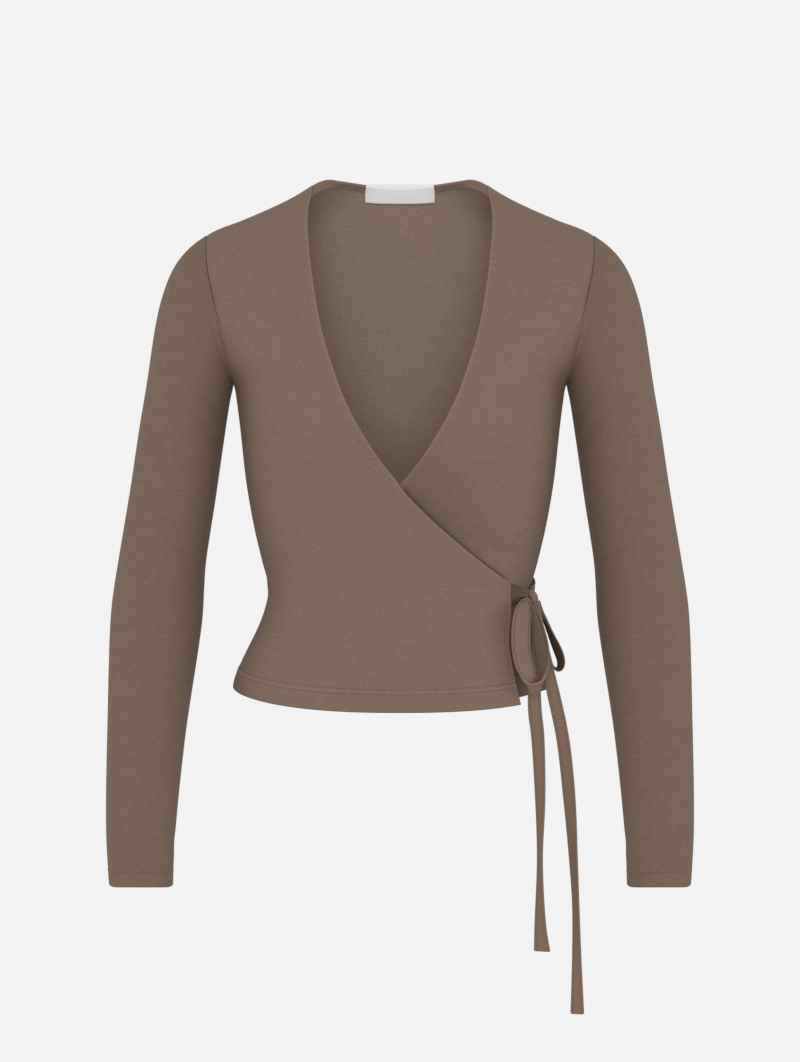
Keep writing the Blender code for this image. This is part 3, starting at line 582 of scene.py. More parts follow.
ARM_NORMALS = armhole_normals()


def meet_sleeve(normals, column, towards, is_front):
    """Gives a panel's edge at an armhole the normals that the sleeve's end has."""
    edge = ARM_NORMALS * np.array([-towards, 1, 1])
    count = len(ARM_SHARES)
    rows = edge[:count][::-1] if is_front else np.concatenate([edge[count - 1 :], edge[:1]])
    for step in range(len(SEAM)):
        share = 1 - step / len(SEAM)
        at = column + step if column == 0 else column - step
        normals[-count:, at] = unit(rows * share + normals[-count:, at] * (1 - share))


# -------- meshes


def grid_faces(rows, columns, wrap=False):
    index = np.arange(rows * columns).reshape(rows, columns)
    if wrap:
        index = np.concatenate([index, index[:, :1]], axis=1)
    return np.stack([index[:-1, :-1], index[:-1, 1:], index[1:, 1:], index[1:, :-1]], -1).reshape(-1, 4)


MERGE = 2e-6
DEGENERATE = 1e-7


def make_mesh(name, points, faces, materials, face_material=None, attributes=None, merge=0.0, sharp=70):
    """An object on the body, from points and faces, with its normals facing out."""
    mesh = bpy.data.meshes.new(name)
    mesh.from_pydata(np.asarray(points).tolist(), [], [list(face) for face in faces])
    for label, values in (attributes or {}).items():
        kind = "FLOAT" if values.ndim == 1 else "FLOAT_VECTOR"
        layer = mesh.attributes.new(label, kind, "POINT")
        layer.data.foreach_set("value" if kind == "FLOAT" else "vector", values.astype(np.float32).ravel())
    for made in materials:
        mesh.materials.append(made)
    if face_material is not None:
        mesh.polygons.foreach_set("material_index", np.asarray(face_material, np.int32))
    shape = bmesh.new()
    shape.from_mesh(mesh)
    if merge:
        bmesh.ops.remove_doubles(shape, verts=shape.verts, dist=merge)
    bmesh.ops.dissolve_degenerate(shape, dist=DEGENERATE, edges=shape.edges)
    bmesh.ops.recalc_face_normals(shape, faces=shape.faces)
    shape.to_mesh(mesh)
    shape.free()
    mesh.shade_smooth()
    mesh.set_sharp_from_angle(angle=math.radians(sharp))
    made = bpy.data.objects.new(name, mesh)
    bpy.context.scene.collection.objects.link(made)
    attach(made, "root")
    return made


def wall(name, points, normals, half, round_, dip, cloth, edge_highlight, materials, wrap=False, shade=None):
    """A closed wall of cloth. half is half its thickness, round_ falls to 0 at a turned edge, dip sinks
    the outside, cloth gives each point's place on the flat cloth, the next argument a painted highlight that
    pales it near edges and ridges, and shade a painted shade that darkens it in seams and hollows."""
    shade = np.zeros(edge_highlight.shape) if shade is None else shade
    outer = points - normals * (dip + half * (1 - round_))[..., None]
    inner = points - normals * (half * (1 + round_))[..., None]
    rows, columns = points.shape[:2]
    count = rows * columns
    faces = grid_faces(rows, columns, wrap)
    index = np.arange(count).reshape(rows, columns)
    if wrap:
        rims = [np.append(index[row], index[row, 0]) for row in (0, -1)]
    else:
        rims = [np.concatenate([index[0, :-1], index[:-1, -1], index[-1, :0:-1], index[::-1, 0]])]
    sides = [np.stack([rim[:-1], rim[1:], rim[1:] + count, rim[:-1] + count], -1) for rim in rims]
    every = np.concatenate([faces, faces + count, *sides])
    which = np.concatenate([np.zeros(len(faces)), np.ones(len(faces)), np.zeros(sum(map(len, sides)))])
    both = {
        "cloth": np.concatenate([cloth.reshape(-1, 3), cloth.reshape(-1, 3)]),
        "edge_highlight": np.concatenate([edge_highlight.ravel(), edge_highlight.ravel()]),
        "shade": np.concatenate([shade.ravel(), shade.ravel()]),
    }
    both_sides = np.concatenate([outer.reshape(-1, 3), inner.reshape(-1, 3)])
    return make_mesh(name, both_sides, every, materials, which, both, MERGE), outer, inner


def rounding(distance, half):
    """Falls from 1 to 0 in a quarter circle over the last of the cloth before a turned edge."""
    return np.sqrt(np.maximum(0, 1 - (1 - np.clip(distance / (2 * half), 0, 1)) ** 2))


SEAM_WIDTH = 0.00040
GROOVE_DEPTH = 0.00048
GROOVE_WIDTH = 0.00046


def valley(distance, depth=GROOVE_DEPTH):
    """How far a seam pulls the outside in."""
    return depth * bell(distance, SEAM_WIDTH)


def groove(distance, at, depth=GROOVE_DEPTH, width=GROOVE_WIDTH):
    """How far a row of stitches pulls the outside in."""
    return depth * bell(distance - at, width)


def grid_normals(grid):
    return unit(np.cross(np.gradient(grid, axis=1), np.gradient(grid, axis=0)))


# -------- materials


class Nodes:
    """A short way to lay out shader nodes."""

    def __init__(self, name):
        self.material = bpy.data.materials.new(name)
        self.material.use_nodes = True
        self.tree = self.material.node_tree
        self.shader = self.tree.nodes["Principled BSDF"]

    def add(self, kind, inputs=(), output=0, **settings):
        node = self.tree.nodes.new(kind)
        for key, value in settings.items():
            setattr(node, key, value)
        for key, value in dict(inputs).items():
            if isinstance(value, bpy.types.NodeSocket):
                self.tree.links.new(value, node.inputs[key])
            else:
                node.inputs[key].default_value = value
        return node.outputs[output]

    def maths(self, operation, *values):
        return self.add("ShaderNodeMath", dict(enumerate(values)), operation=operation)

    def times(self, vector, other):
        return self.add("ShaderNodeVectorMath", {0: vector, 1: other}, operation="MULTIPLY")

    def attribute(self, name, output="Fac"):
        return self.add("ShaderNodeAttribute", output=output, attribute_name=name)

    def noise(self, place, scale):
        return self.add("ShaderNodeTexNoise", {"Vector": place, "Scale": scale, "Detail": 2.0})

    def waves(self, place, pitch):
        """A sine that repeats at a pitch in metres."""
        return self.maths("SINE", self.maths("MULTIPLY", place, 2 * math.pi / pitch))

    def colour(self, colour, red_gain, gain):
        """The base colour, times a gain of its red and another of its green and blue."""
        gains = self.add("ShaderNodeCombineXYZ", {0: red_gain, 1: gain, 2: gain})
        self.link(self.times(colour, gains), "Base Color")

    def rough(self, value, gain, least):
        """A roughness from a least one up, by a value from 0 to 1."""
        self.link(self.maths("ADD", self.maths("MULTIPLY", value, gain), least), "Roughness")

    def bump(self, height, strength, distance):
        inputs = {"Strength": strength, "Distance": distance, "Height": height}
        self.link(self.add("ShaderNodeBump", inputs), "Normal")

    def link(self, output, socket):
        self.tree.links.new(output, self.shader.inputs[socket])

    def set(self, **values):
        for name, value in values.items():
            self.shader.inputs[name.replace("_", " ")].default_value = value


WALE = 0.00065
COURSE = 0.00050
STITCH_LEAN = 1.6  # how steeply the two sides of a stitch's V rise
LOOP_HEIGHT = 0.30  # of a stitch, where a rib is 0.8 high
RIB_GAIN = 0.10  # how much paler the ribs are than the furrows between them
SHADE_GAIN = 0.8  # how much of the colour a full shade takes away
RED_EDGE_GAIN = 1.4  # painted edge highlights lighten most in red
BASE_EDGE_GAIN = 0.055
CLOTH_ROUGHNESS = (0.10, 0.81)  # how much it varies, and the least it is
CLOTH_BUMP = (0.35, 0.00012)  # strength and distance
CLOTH_SPECULAR = 0.22
SHEEN = (0.08, 0.45, (0.90, 0.66, 0.56, 1))  # weight, roughness and tint
CLOTH_MOTTLE = (  # scale across, along and between the pieces, and how much it changes the tone
    ((240.0, 640.0, 1.0), 0.40),  # slubs in the yarn
    ((70.0, 1150.0, 1.0), 0.22),  # long faint streaks
    ((900.0, 1300.0, 1.0), 0.28),  # single stitches
    ((24.0, 24.0, 24.0), 0.06),  # uneven dye
)
TAPE_COLOUR = (0.93, 0.92, 0.89)
WARP_PITCH = 0.00028
WEFT_PITCH = 0.00036
WEFT_SHARE = 0.7
TAPE_SPECKS = (1400.0, 0.12)  # scale, and how much they change the tone
TAPE_LINES = 0.012
TAPE_ROUGHNESS = (0.2, 0.42)
TAPE_BUMP = (0.3, 0.00006)
THREAD_TWIST = (900.0, 1.5, 0.16)  # scale, distortion and depth
THREAD_ROUGHNESS = (0.1, 0.6)


def cloth_material(name, colour, edge_gain=BASE_EDGE_GAIN):
    """Fine jersey: rows of small V stitches, faint streaks along the courses and soft mottling."""
    nodes = Nodes(name)
    place = nodes.attribute("cloth", "Vector")
    x, y = nodes.add("ShaderNodeSeparateXYZ", {0: place}, output=slice(2))
    wale = nodes.maths("DIVIDE", x, WALE)
    course = nodes.maths("DIVIDE", y, COURSE)
    ridge = nodes.maths("ABSOLUTE", nodes.maths("SUBTRACT", nodes.maths("FRACT", wale), 0.5))
    lean = nodes.maths("MULTIPLY", ridge, STITCH_LEAN)
    loops = nodes.waves(nodes.maths("ADD", course, lean), 1.0)
    rib = nodes.maths("MULTIPLY", nodes.maths("SUBTRACT", 0.5, ridge), STITCH_LEAN)
    height = nodes.maths("ADD", rib, nodes.maths("MULTIPLY", loops, LOOP_HEIGHT))

    tone = nodes.maths("MULTIPLY", nodes.maths("SUBTRACT", rib, STITCH_LEAN / 4), RIB_GAIN)
    for scale, amount in CLOTH_MOTTLE:
        noise = nodes.noise(nodes.times(place, scale), 1.0)
        tone = nodes.maths("ADD", tone, nodes.maths("MULTIPLY", nodes.maths("SUBTRACT", noise, 0.5), amount))
    # Painted highlight pales the colour near edges and ridges, most in red, and painted shade darkens it in
    # seams, creases and hollows.
    edge_highlight = nodes.attribute("edge_highlight")
    lit = nodes.maths("SUBTRACT", 1.0, nodes.maths("MULTIPLY", nodes.attribute("shade"), SHADE_GAIN))
    gain = nodes.maths("MULTIPLY", nodes.maths("ADD", tone, 1.0), lit)
    cool = nodes.maths("ADD", gain, nodes.maths("MULTIPLY", edge_highlight, edge_gain))
    warm = nodes.maths("ADD", gain, nodes.maths("MULTIPLY", edge_highlight, edge_gain * RED_EDGE_GAIN))
    nodes.colour(colour, warm, cool)
    nodes.rough(noise, *CLOTH_ROUGHNESS)
    nodes.bump(height, *CLOTH_BUMP)
    nodes.set(Specular_IOR_Level=CLOTH_SPECULAR, Sheen_Weight=SHEEN[0], Sheen_Roughness=SHEEN[1])
    nodes.set(Sheen_Tint=SHEEN[2])
    return nodes.material


def label_material():
    """Woven satin tape: close warp lines, a fainter weft and a soft sheen."""
    nodes = Nodes("label_tape")
    place = nodes.attribute("cloth", "Vector")
    x, y = nodes.add("ShaderNodeSeparateXYZ", {0: place}, output=slice(2))
    weft = nodes.maths("MULTIPLY", nodes.waves(y, WEFT_PITCH), WEFT_SHARE)
    height = nodes.maths("ADD", nodes.waves(x, WARP_PITCH), weft)
    speck = nodes.noise(place, TAPE_SPECKS[0])
    tone = nodes.maths("MULTIPLY", nodes.maths("SUBTRACT", speck, 0.5), TAPE_SPECKS[1])
    tone = nodes.maths("ADD", tone, nodes.maths("MULTIPLY", height, TAPE_LINES))
    gain = nodes.maths("ADD", tone, 1.0)
    nodes.colour(TAPE_COLOUR, gain, gain)
    nodes.rough(speck, *TAPE_ROUGHNESS)
    nodes.bump(height, *TAPE_BUMP)
    return nodes.material


def thread_material(name, colour):
    """Sewing thread, with a fine twist."""
    nodes = Nodes(name)
    place = nodes.add("ShaderNodeTexCoord", output="Object")
    scale, distortion, depth = THREAD_TWIST
    inputs = {"Vector": place, "Scale": scale, "Distortion": distortion}
    twist = nodes.add("ShaderNodeTexWave", inputs, output="Fac")
    gain = nodes.maths("ADD", nodes.maths("MULTIPLY", twist, depth), 1 - depth / 2)
    nodes.colour(colour, gain, gain)
    nodes.rough(twist, *THREAD_ROUGHNESS)
    return nodes.material


JERSEY = (0.207, 0.1435, 0.1035)
# The inside is paler than the outside: partly the reverse side's own tone, partly painted light standing in
# for light falling in through the neck.
JERSEY_INSIDE = (0.310, 0.228, 0.179)
# Darker than the fronts' jersey: painted shade for the duller light on the sleeves.
JERSEY_SLEEVE = (0.182, 0.1245, 0.0905)
JERSEY_TIE = (0.210, 0.145, 0.105)
JERSEY_BAND = (0.235, 0.160, 0.124)
THREAD = (0.30, 0.215, 0.165)
JERSEY_EDGES = 0.16  # how much paler the painted highlights along the edges make each
SLEEVE_EDGES = 0.10
TIE_EDGES = 0.08
jersey = cloth_material("jersey", JERSEY, JERSEY_EDGES)
jersey_inside = cloth_material("jersey_inside", JERSEY_INSIDE)
jersey_sleeve = cloth_material("jersey_sleeve", JERSEY_SLEEVE, SLEEVE_EDGES)
jersey_tie = cloth_material("jersey_tie", JERSEY_TIE, TIE_EDGES)
jersey_band = cloth_material("jersey_band", JERSEY_BAND)
thread = thread_material("thread", THREAD)


# -------- fronts and back

HEM_HALF = 0.00042  # added to half the thickness where the hem is folded double
HEM_FOLD = 0.0232
HEM_FADE = 0.0015
HEM_ROWS = (0.0157, 0.0204)
HEM_LIFT = 0.00022  # how much a turned hem's second layer lifts its outside
LIFT_FADE = 0.0010
END_ROWS = (0.0031, 0.0050)
FACING = 0.0058
FACING_FADE = 0.0012
FACING_HALF = 0.00030
FACING_LIFT = 0.00020
BASE_HALF = 0.00048
FRONT_COLUMNS = 92
DENSE_COLUMNS = 161
LEAST_SQUARE = 0.45  # so that the rows' last steps don't grow too long
BACK_WIDTH = 370  # millimetres, about the length of a row of the back
NECK_COLUMNS = 61
DENSE_NECK = 601
SHOULDER_COLUMNS = 26

WRAP_LIFT = 0.0011
WRAP_LIFT_WIDTH = 0.006
CROSSING = (-0.272, 0.012)  # the height below which the fronts lie over each other, and its fade
CORNER_FADE = (CORNER_HEIGHT - 0.003, 0.010)
END_TOP = CORNER_HEIGHT - 0.001
END_REACH = 0.03  # from the end edge, as far as its stitches can lie
FACING_END = 0.004
FACING_HIGHLIGHT = (0.15, 0.0030, 0.0012)  # how pale the painted highlight over the facing is, how far in and its fade
# the painted highlight right at a front's free edge fades over this far
EDGE_HIGHLIGHT = 0.0013
NECK_FADE = 0.004
# the painted highlight along the back's neck edge fades over this far
NECK_HIGHLIGHT = 0.003
SLANT_TURN = 0.01
LEAST_NECK_TURN = np.pi / 2 + 0.3
NECK_MARK = 7 / 26  # the share of a back's row at which the neck begins

# Shades: how dark and how wide.
ROW_SHADE = (0.22, 0.0005)
SIDE_SHADE = (0.14, 0.0005)
TOP_SHADE = (0.16, 0.0005)
HEM_EDGE_SHADE = (0.30, 0.0006)
WRAP_LINE_SHADE = (0.86, 0.00135)
WRAP_EDGE_HIGHLIGHT = (0.8, 0.0025, 0.0008)  # how pale the painted highlight line beside the wrap edge is, how far from the edge and how wide
CONTACT_SHADES = ((0.10, 0.018), (0.15, 0.0035))
END_SHADE = (0.62, 0.0075)
END_SHADE_TOP = (-0.376, 0.006)  # below this height, and its fade
HOLLOW_SHADE = (0.24, 0.026)  # of the under front beside the wrap
HOLLOW_REACH = 0.022
HOLLOW_START = (-0.010, 0.012)  # where it begins, and how far it takes to be whole
HOLLOW_FOOT = (-0.348, 0.030)
HOLLOW_TOP = (-0.228, 0.040)


def lines_shade(distance, shade, rows=(0.0,)):
    """The shade of lines at distances from an edge."""
    depth, width = shade
    return sum(depth * bell(distance - row, width) for row in rows)


def seam_shade(from_seam, from_top, from_hem, rows=HEM_ROWS):
    """How dark the depth of its seams makes a panel, and its turned hem's edge and rows."""
    lines = lines_shade(from_seam, SIDE_SHADE) + lines_shade(from_top, TOP_SHADE)
    return lines + lines_shade(from_hem, HEM_EDGE_SHADE) + lines_shade(from_hem, ROW_SHADE, rows)


def hem_half(distance, fold=HEM_FOLD):
    """What a turned hem adds to half the thickness."""
    return HEM_HALF * (1 - rise(distance, fold, HEM_FADE))


def hem_dip(distance, rows=HEM_ROWS):
    """How far a turned hem's stitches pull its outside in, less what its second layer lifts it."""
    dip = sum(groove(distance, row) for row in rows)
    return dip - HEM_LIFT * (1 - rise(distance, rows[1], LIFT_FADE))


CLOTH_PLACE = {  # sets each piece's flat cloth apart from the rest
    "outer_front_cloth": 0.2,
    "under_front_cloth": 0.5,
    "back_cloth": 0.8,
    "sleeves": 1.3,
    "back_neck_band_cloth": 2.1,
    "neck_label_tape": 3.0,
}


def panel_cloth(points, turns, heights, place):
    """Each point's place on the flat cloth: across from the middle, and up from the hem."""
    along = arc(points, 1)
    middle_turn = 0.0 if np.cos(turns).mean() > 0 else np.pi
    ordered = turns[:, -1] > turns[:, 0]
    zero = np.array([
        np.interp(middle_turn, row if up else row[::-1], run if up else run[::-1])
        for row, run, up in zip(turns, along, ordered)
    ])
    up = arc(points) + heights[:1]
    return np.stack([along - zero[:, None], up, np.full(up.shape, place)], -1)


def corner_level(hem):
    """The level of the row that runs through a front's corner."""
    turn = outer_edge_turn(np.array([CORNER_HEIGHT]))
    low = hem(turn)
    return float(((CORNER_HEIGHT - low) / (UNDERARM - low))[0])


def edge_square(turns, heights, towards):
    """How square a front's free edge meets its rows: 1 is a right angle."""
    edge = form_point(turns, heights)
    sideways = unit(edge - form_point(turns - SLANT_TURN * towards, heights))
    is_end = heights < CORNER_HEIGHT + 1e-6
    tangent = np.zeros_like(edge)
    for part in (is_end, ~is_end):
        tangent[part] = np.gradient(edge[part], axis=0)
    tangent = unit(tangent)
    square = np.linalg.norm(tangent - sideways * np.sum(tangent * sideways, -1, keepdims=True), axis=-1)
    return np.where(is_end, 1.0, np.clip(square, LEAST_SQUARE, 1))


def front_grid(towards, hem):
    """A front's turns, heights and distances from its free edge, in rows from the hem up."""
    levels = row_levels(corner_level(hem))
    starts = -armhole_turn(levels, True)

    def miss(turn):
        z = level_height(turn * towards, levels, hem, shoulder_height)
        return across(turn * towards, z) * towards - free_edge(z)

    ends = solve_turn(miss, starts, np.full(len(levels), FURTHEST_TURN))
    dense = starts[:, None] + (ends - starts)[:, None] * np.linspace(0, 1, DENSE_COLUMNS)
    dense_z = level_height(dense * towards, levels[:, None], hem, shoulder_height)
    run = arc(form_point(dense * towards, dense_z), 1)
    square = edge_square(ends * towards, dense_z[:, -1], towards)
    turns = np.zeros((len(levels), len(SEAM) + FRONT_COLUMNS - 1 + len(EDGE)))
    near = np.zeros_like(turns)
    for row in range(len(levels)):
        places = spread(run[row, -1], np.array(SEAM) * MM, np.array(EDGE) * MM / square[row], FRONT_COLUMNS)
        turns[row] = np.interp(places, run[row], dense[row])
        near[row] = (run[row, -1] - places) * square[row]
    turns = turns * towards
    return turns, level_height(turns, levels[:, None], hem, shoulder_height), near


def under_shade(turns, heights, crossed):
    """How dark the under front is along the outer front's edges and in the hollow beside the wrap."""
    past = beyond_wrap(turns, heights)
    past_end = across(turns, heights) - look_up(END_EDGE, "across", heights)
    shade = sum(lines_shade(past, contact) for contact in CONTACT_SHADES) * crossed
    hollow = rise(past, *HOLLOW_START) * rise(heights, *HOLLOW_FOOT) * fall(heights, *HOLLOW_TOP)
    shade = shade + hollow * lines_shade(np.maximum(past - HOLLOW_REACH, 0), HOLLOW_SHADE)
    return shade + lines_shade(past_end, END_SHADE) * fall(heights, *END_SHADE_TOP)


def front_panel(name, towards, hem, inset=None):
    """A front. towards is +1 if it wraps to the wearer's left, inset how deep it lies under the other."""
    turns, heights, near = front_grid(towards, hem)
    crossed = fall(heights, *CROSSING) * rise(heights, *CORNER_FADE)
    if inset is None:  # the wrap edge stands a little off the front beneath it
        out = WRAP_LIFT * bell(near, WRAP_LIFT_WIDTH) * crossed
        depth, width = WRAP_LINE_SHADE
        wrap_shade = depth * crossed * bell(near, width, 4)
    else:
        out = -inset(turns, heights)
        wrap_shade = under_shade(turns, heights, crossed)
    points = cloth_point(turns, heights, out)
    normals = form_normal(turns, heights)
    meet_sleeve(normals, 0, -towards, True)
    from_hem = arc(points)
    from_top = from_hem[-1:] - from_hem
    from_seam = arc(points, 1)
    is_below = (heights < END_TOP) & (near < END_REACH)
    facing = (1 - rise(near, FACING, FACING_FADE)) * fall(heights, CORNER_HEIGHT, FACING_END)
    half = BASE_HALF + np.maximum(hem_half(from_hem), FACING_HALF * facing)
    round_ = rounding(from_hem, half) * rounding(near, half)
    dip = valley(from_seam) + valley(from_top) + hem_dip(from_hem)
    dip = dip + sum(groove(near, row) * is_below for row in END_ROWS) - FACING_LIFT * facing
    # Painted highlight: a pale border over the facing and at the very edge, and below the crossing only a
    # pale line a little in from the wrap edge.
    gain, at, width = FACING_HIGHLIGHT
    edge_highlight = gain * (1 - rise(near, at, width)) + bell(near, EDGE_HIGHLIGHT)
    gain, at, width = WRAP_EDGE_HIGHLIGHT
    edge_highlight = edge_highlight * (1 - crossed) + gain * crossed * bell(near - at, width)
    shade = seam_shade(from_seam, from_top, from_hem) + lines_shade(near, ROW_SHADE, END_ROWS) * is_below
    shade = np.clip(shade + wrap_shade, 0, 1)
    cloth = panel_cloth(points, turns, heights, CLOTH_PLACE[name])
    shape = (points, normals, half, round_, dip, cloth, edge_highlight)
    made, outer, _ = wall(name, *shape, [jersey, jersey_inside], shade=shade)
    return {"object": made, "outer": outer, "near": near, "heights": heights}


def back_columns(start):
    """Shares along the back's rows, and the turns of the same columns at its upper end."""
    seam_height = shoulder_height(HIGH_POINT_X)
    neck_start = solve_turn(lambda turn: HIGH_POINT_X - across(turn, seam_height), LEAST_NECK_TURN, np.pi)
    dense = np.linspace(neck_start, 2 * np.pi - neck_start, DENSE_NECK)
    edge = form_point(dense, level_height(dense, 2.0, hem_height, back_top))
    lengths = arc(edge)
    neck = np.interp(np.linspace(0, lengths[-1], NECK_COLUMNS), lengths, dense)
    fine = np.array(SEAM) / BACK_WIDTH
    shoulder_share = np.concatenate([fine, np.linspace(fine[-1], NECK_MARK, SHOULDER_COLUMNS)[1:-1]])
    shoulder = start + (neck[0] - start) * shoulder_share / NECK_MARK
    middle = np.linspace(NECK_MARK, 1 - NECK_MARK, NECK_COLUMNS)
    share = np.concatenate([shoulder_share, middle, 1 - shoulder_share[::-1]])
    turns = np.concatenate([shoulder, neck, 2 * np.pi - shoulder[::-1]])
    is_neck = (share > NECK_MARK - 1e-9) & (share < 1 - NECK_MARK + 1e-9)
    return share, turns, is_neck


def back_panel():
    """The back, from one side seam to the other."""
    levels = row_levels()
    starts = np.pi - armhole_turn(levels, False)
    share, top, is_neck = back_columns(starts[-1])
    at_top = (top - starts[-1]) / (2 * (np.pi - starts[-1]))
    upper = np.clip(levels - 1, 0, 1)[:, None]
    turns = starts[:, None] + 2 * (np.pi - starts)[:, None] * (share * (1 - upper) + at_top * upper)
    heights = level_height(turns, levels[:, None], hem_height, back_top)
    points = cloth_point(turns, heights)
    normals = form_normal(turns, heights)
    meet_sleeve(normals, 0, 1, False)
    meet_sleeve(normals, turns.shape[1] - 1, -1, False)
    from_hem = arc(points)
    from_top = from_hem[-1:] - from_hem
    left = arc(points, 1)
    from_seam = np.minimum(left, left[:, -1:] - left)
    at_neck = np.where(is_neck, fall(np.abs(points[-1, :, 0]), HIGH_POINT_X, NECK_FADE), 0)
    half = BASE_HALF + hem_half(from_hem)
    round_ = rounding(from_hem, half) * (1 - at_neck * (1 - rounding(from_top, half)))
    dip = valley(from_seam) + valley(from_top) * (1 - at_neck) + hem_dip(from_hem)
    # Painted highlight along the neck edge.
    edge_highlight = at_neck * np.exp(-from_top / NECK_HIGHLIGHT)
    shade = seam_shade(from_seam, np.where(at_neck > 0.5, 1.0, from_top), from_hem)
    cloth = panel_cloth(points, turns, heights, CLOTH_PLACE["back_cloth"])
    shape = (points, normals, half, round_, dip, cloth, edge_highlight)
    made, outer, inner = wall("back_cloth", *shape, [jersey, jersey_inside], shade=shade)
    return {"object": made, "outer": outer, "inner": inner}


# -------- sleeves

CUFF_ROWS = (0.0128, 0.0173)
CUFF_FOLD = 0.0198
CUFF_PLACES = ((0.0014, 0.0113, 0.0009), (0.0113, 0.0188, 0.0003), (0.0188, 0.0243, 0.0009))
CUFF_TILT = -0.091  # how much the cuff's edge leans, front to back
CUFF_RISE = -0.0017
CUFF_REACH = 0.09  # above the cuff, over which both fade
CUFF_CORNER = 0.0024  # how far the flat cuff's two folds pull its edge up
CUFF_CORNER_POWER = 14
CUFF_CORNER_REACH = 0.003
# Painted highlights at the cuff's edge and along the cap: how pale, and how far they fade.
CUFF_HIGHLIGHT = (0.4, 0.002)
CAP_HIGHLIGHT = (0.5, 0.004)
UNDER_SEAM_START = (0.002, 0.004)
UNDER_SEAM_DEPTH = 0.0005
FAR = 0.02  # so far from a seam that it casts no shade
SLEEVE_RADIUS = 0.045
SLEEVE_ROWS = 165
CAP_RIDGE = (0.00055, 0.0015, 0.0008)  # its height, its distance from the seam and its width
CAP_SWELL = (0.0003, 0.004, 0.010)  # its height, and how it comes and goes
EVEN_ROWS = 600
EVEN_REACH = 12
EVEN_WIDTH = 5.0


def evened_rows(dense):
    """Rows of points evened out along a sleeve, with both ends carried on past themselves."""
    weights = np.exp(-((np.arange(-EVEN_REACH, EVEN_REACH + 1) / EVEN_WIDTH) ** 2) / 2)
    weights /= weights.sum()
    before = 2 * dense[:1] - dense[EVEN_REACH:0:-1]
    after = 2 * dense[-1:] - dense[-2 : -EVEN_REACH - 2 : -1]
    padded = np.concatenate([before, dense, after])
    return sum(weight * padded[step : step + len(dense)] for step, weight in enumerate(weights))


def sleeves():
    """Both sleeves, from the armhole down to the cuff."""
    last = len(SLEEVE["outer"]) - 1
    rings = np.array([ARM_LOOP, *[sleeve_ring(at) for at in np.linspace(0, last, 2 * last + 1)]])
    places = np.concatenate([[0], np.cumsum(np.linalg.norm(np.diff(rings, axis=0), axis=-1).mean(-1))])
    length = places[-1]
    even = np.linspace(0, length, EVEN_ROWS)
    cuff = [np.array(ROLL) * MM, *(np.arange(*part) for part in CUFF_PLACES)]
    rows = spread(length, np.array(SEAM + [6.0, 8.0]) * MM, np.concatenate(cuff), SLEEVE_ROWS)
    points = smooth_rows(even, evened_rows(smooth_rows(places, rings, even)), rows)
    points[0] = ARM_LOOP
    near_cuff = (length - rows)[:, None]
    level = points[..., 1] - points[..., 1].mean(1, keepdims=True)
    points[..., 2] += (CUFF_TILT * level + CUFF_RISE) * ease(1 - near_cuff / CUFF_REACH)
    corner = CUFF_CORNER * np.abs(np.cos(ARM_AROUND)) ** CUFF_CORNER_POWER
    points[..., 2] += corner * np.exp(-near_cuff / CUFF_CORNER_REACH)

    closed = np.concatenate([points, points[:, :1]], axis=1)
    around = np.roll(points, -1, axis=1) - np.roll(points, 1, axis=1)
    normals = unit(np.cross(np.gradient(points, axis=0), around))
    for step in range(len(SEAM)):
        share = 1 - step / len(SEAM)
        normals[step] = unit(ARM_NORMALS * share + normals[step] * (1 - share))
    along = np.broadcast_to(rows[:, None], points.shape[:2])
    depth = troughs(SLEEVE_FOLDS, np.degrees(ARM_AROUND)[None, :], along, SLEEVE_RADIUS)
    points = points - normals * depth[..., None]

    girth = arc(closed, 1)
    from_outer = np.minimum(girth[:, :-1], girth[:, -1:] - girth[:, :-1])
    half_girth = girth[:, len(ARM_SHARES) - 1][:, None]
    from_under = np.abs(girth[:, :-1] - half_girth)
    from_cuff = length - along
    from_cap = arc(points)
    half = BASE_HALF + hem_half(from_cuff, CUFF_FOLD)
    round_ = rounding(from_cuff, half)
    fade = rise(from_cap, *UNDER_SEAM_START)
    dip = valley(from_cap) + valley(from_under, UNDER_SEAM_DEPTH) * fade + hem_dip(from_cuff, CUFF_ROWS)
    height, at, width = CAP_RIDGE
    ridge = bell(from_cap - at, width)
    swell, start, end = CAP_SWELL
    dip = dip - height * ridge - swell * ease(from_cap / start) * np.exp(-from_cap / end)
    # Painted highlight at the cuff's edge, on the ridge beside the armhole seam and along the cap.
    edge_highlight = CUFF_HIGHLIGHT[0] * np.exp(-from_cuff / CUFF_HIGHLIGHT[1]) + ridge
    edge_highlight = edge_highlight + CAP_HIGHLIGHT[0] * np.exp(-from_cap / CAP_HIGHLIGHT[1])
    shade = seam_shade(from_under + FAR * (1 - fade), from_cap, from_cuff, CUFF_ROWS)
    side = np.where(girth[:, :-1] < half_girth, 1, -1)
    cloth = np.stack([from_outer * side, -along, np.full(along.shape, CLOTH_PLACE["sleeves"])], -1)
    made = {}
    for name, mirror in (("sleeve_right_cloth", 1), ("sleeve_left_cloth", -1)):
        flip = np.array([mirror, 1, 1])
        shape = (points * flip, normals * flip, half, round_, dip, cloth, edge_highlight)
        piece, outer, _ = wall(name, *shape, [jersey_sleeve, jersey_inside], wrap=True, shade=shade)
        made[name] = {"object": piece, "outer": outer, "from_cuff": from_cuff}
    return made


outer_front = front_panel("outer_front_cloth", +1, outer_hem_height)
under_front = front_panel("under_front_cloth", -1, under_hem_height, under_inset)
back = back_panel()
arms = sleeves()
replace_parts(outer_front["object"], "outer_front")
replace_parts(under_front["object"], "under_front")
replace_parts(back["object"], "back_panel")
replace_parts(arms["sleeve_right_cloth"]["object"], "sleeve_right")
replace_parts(arms["sleeve_left_cloth"]["object"], "sleeve_left")


# -------- stitches


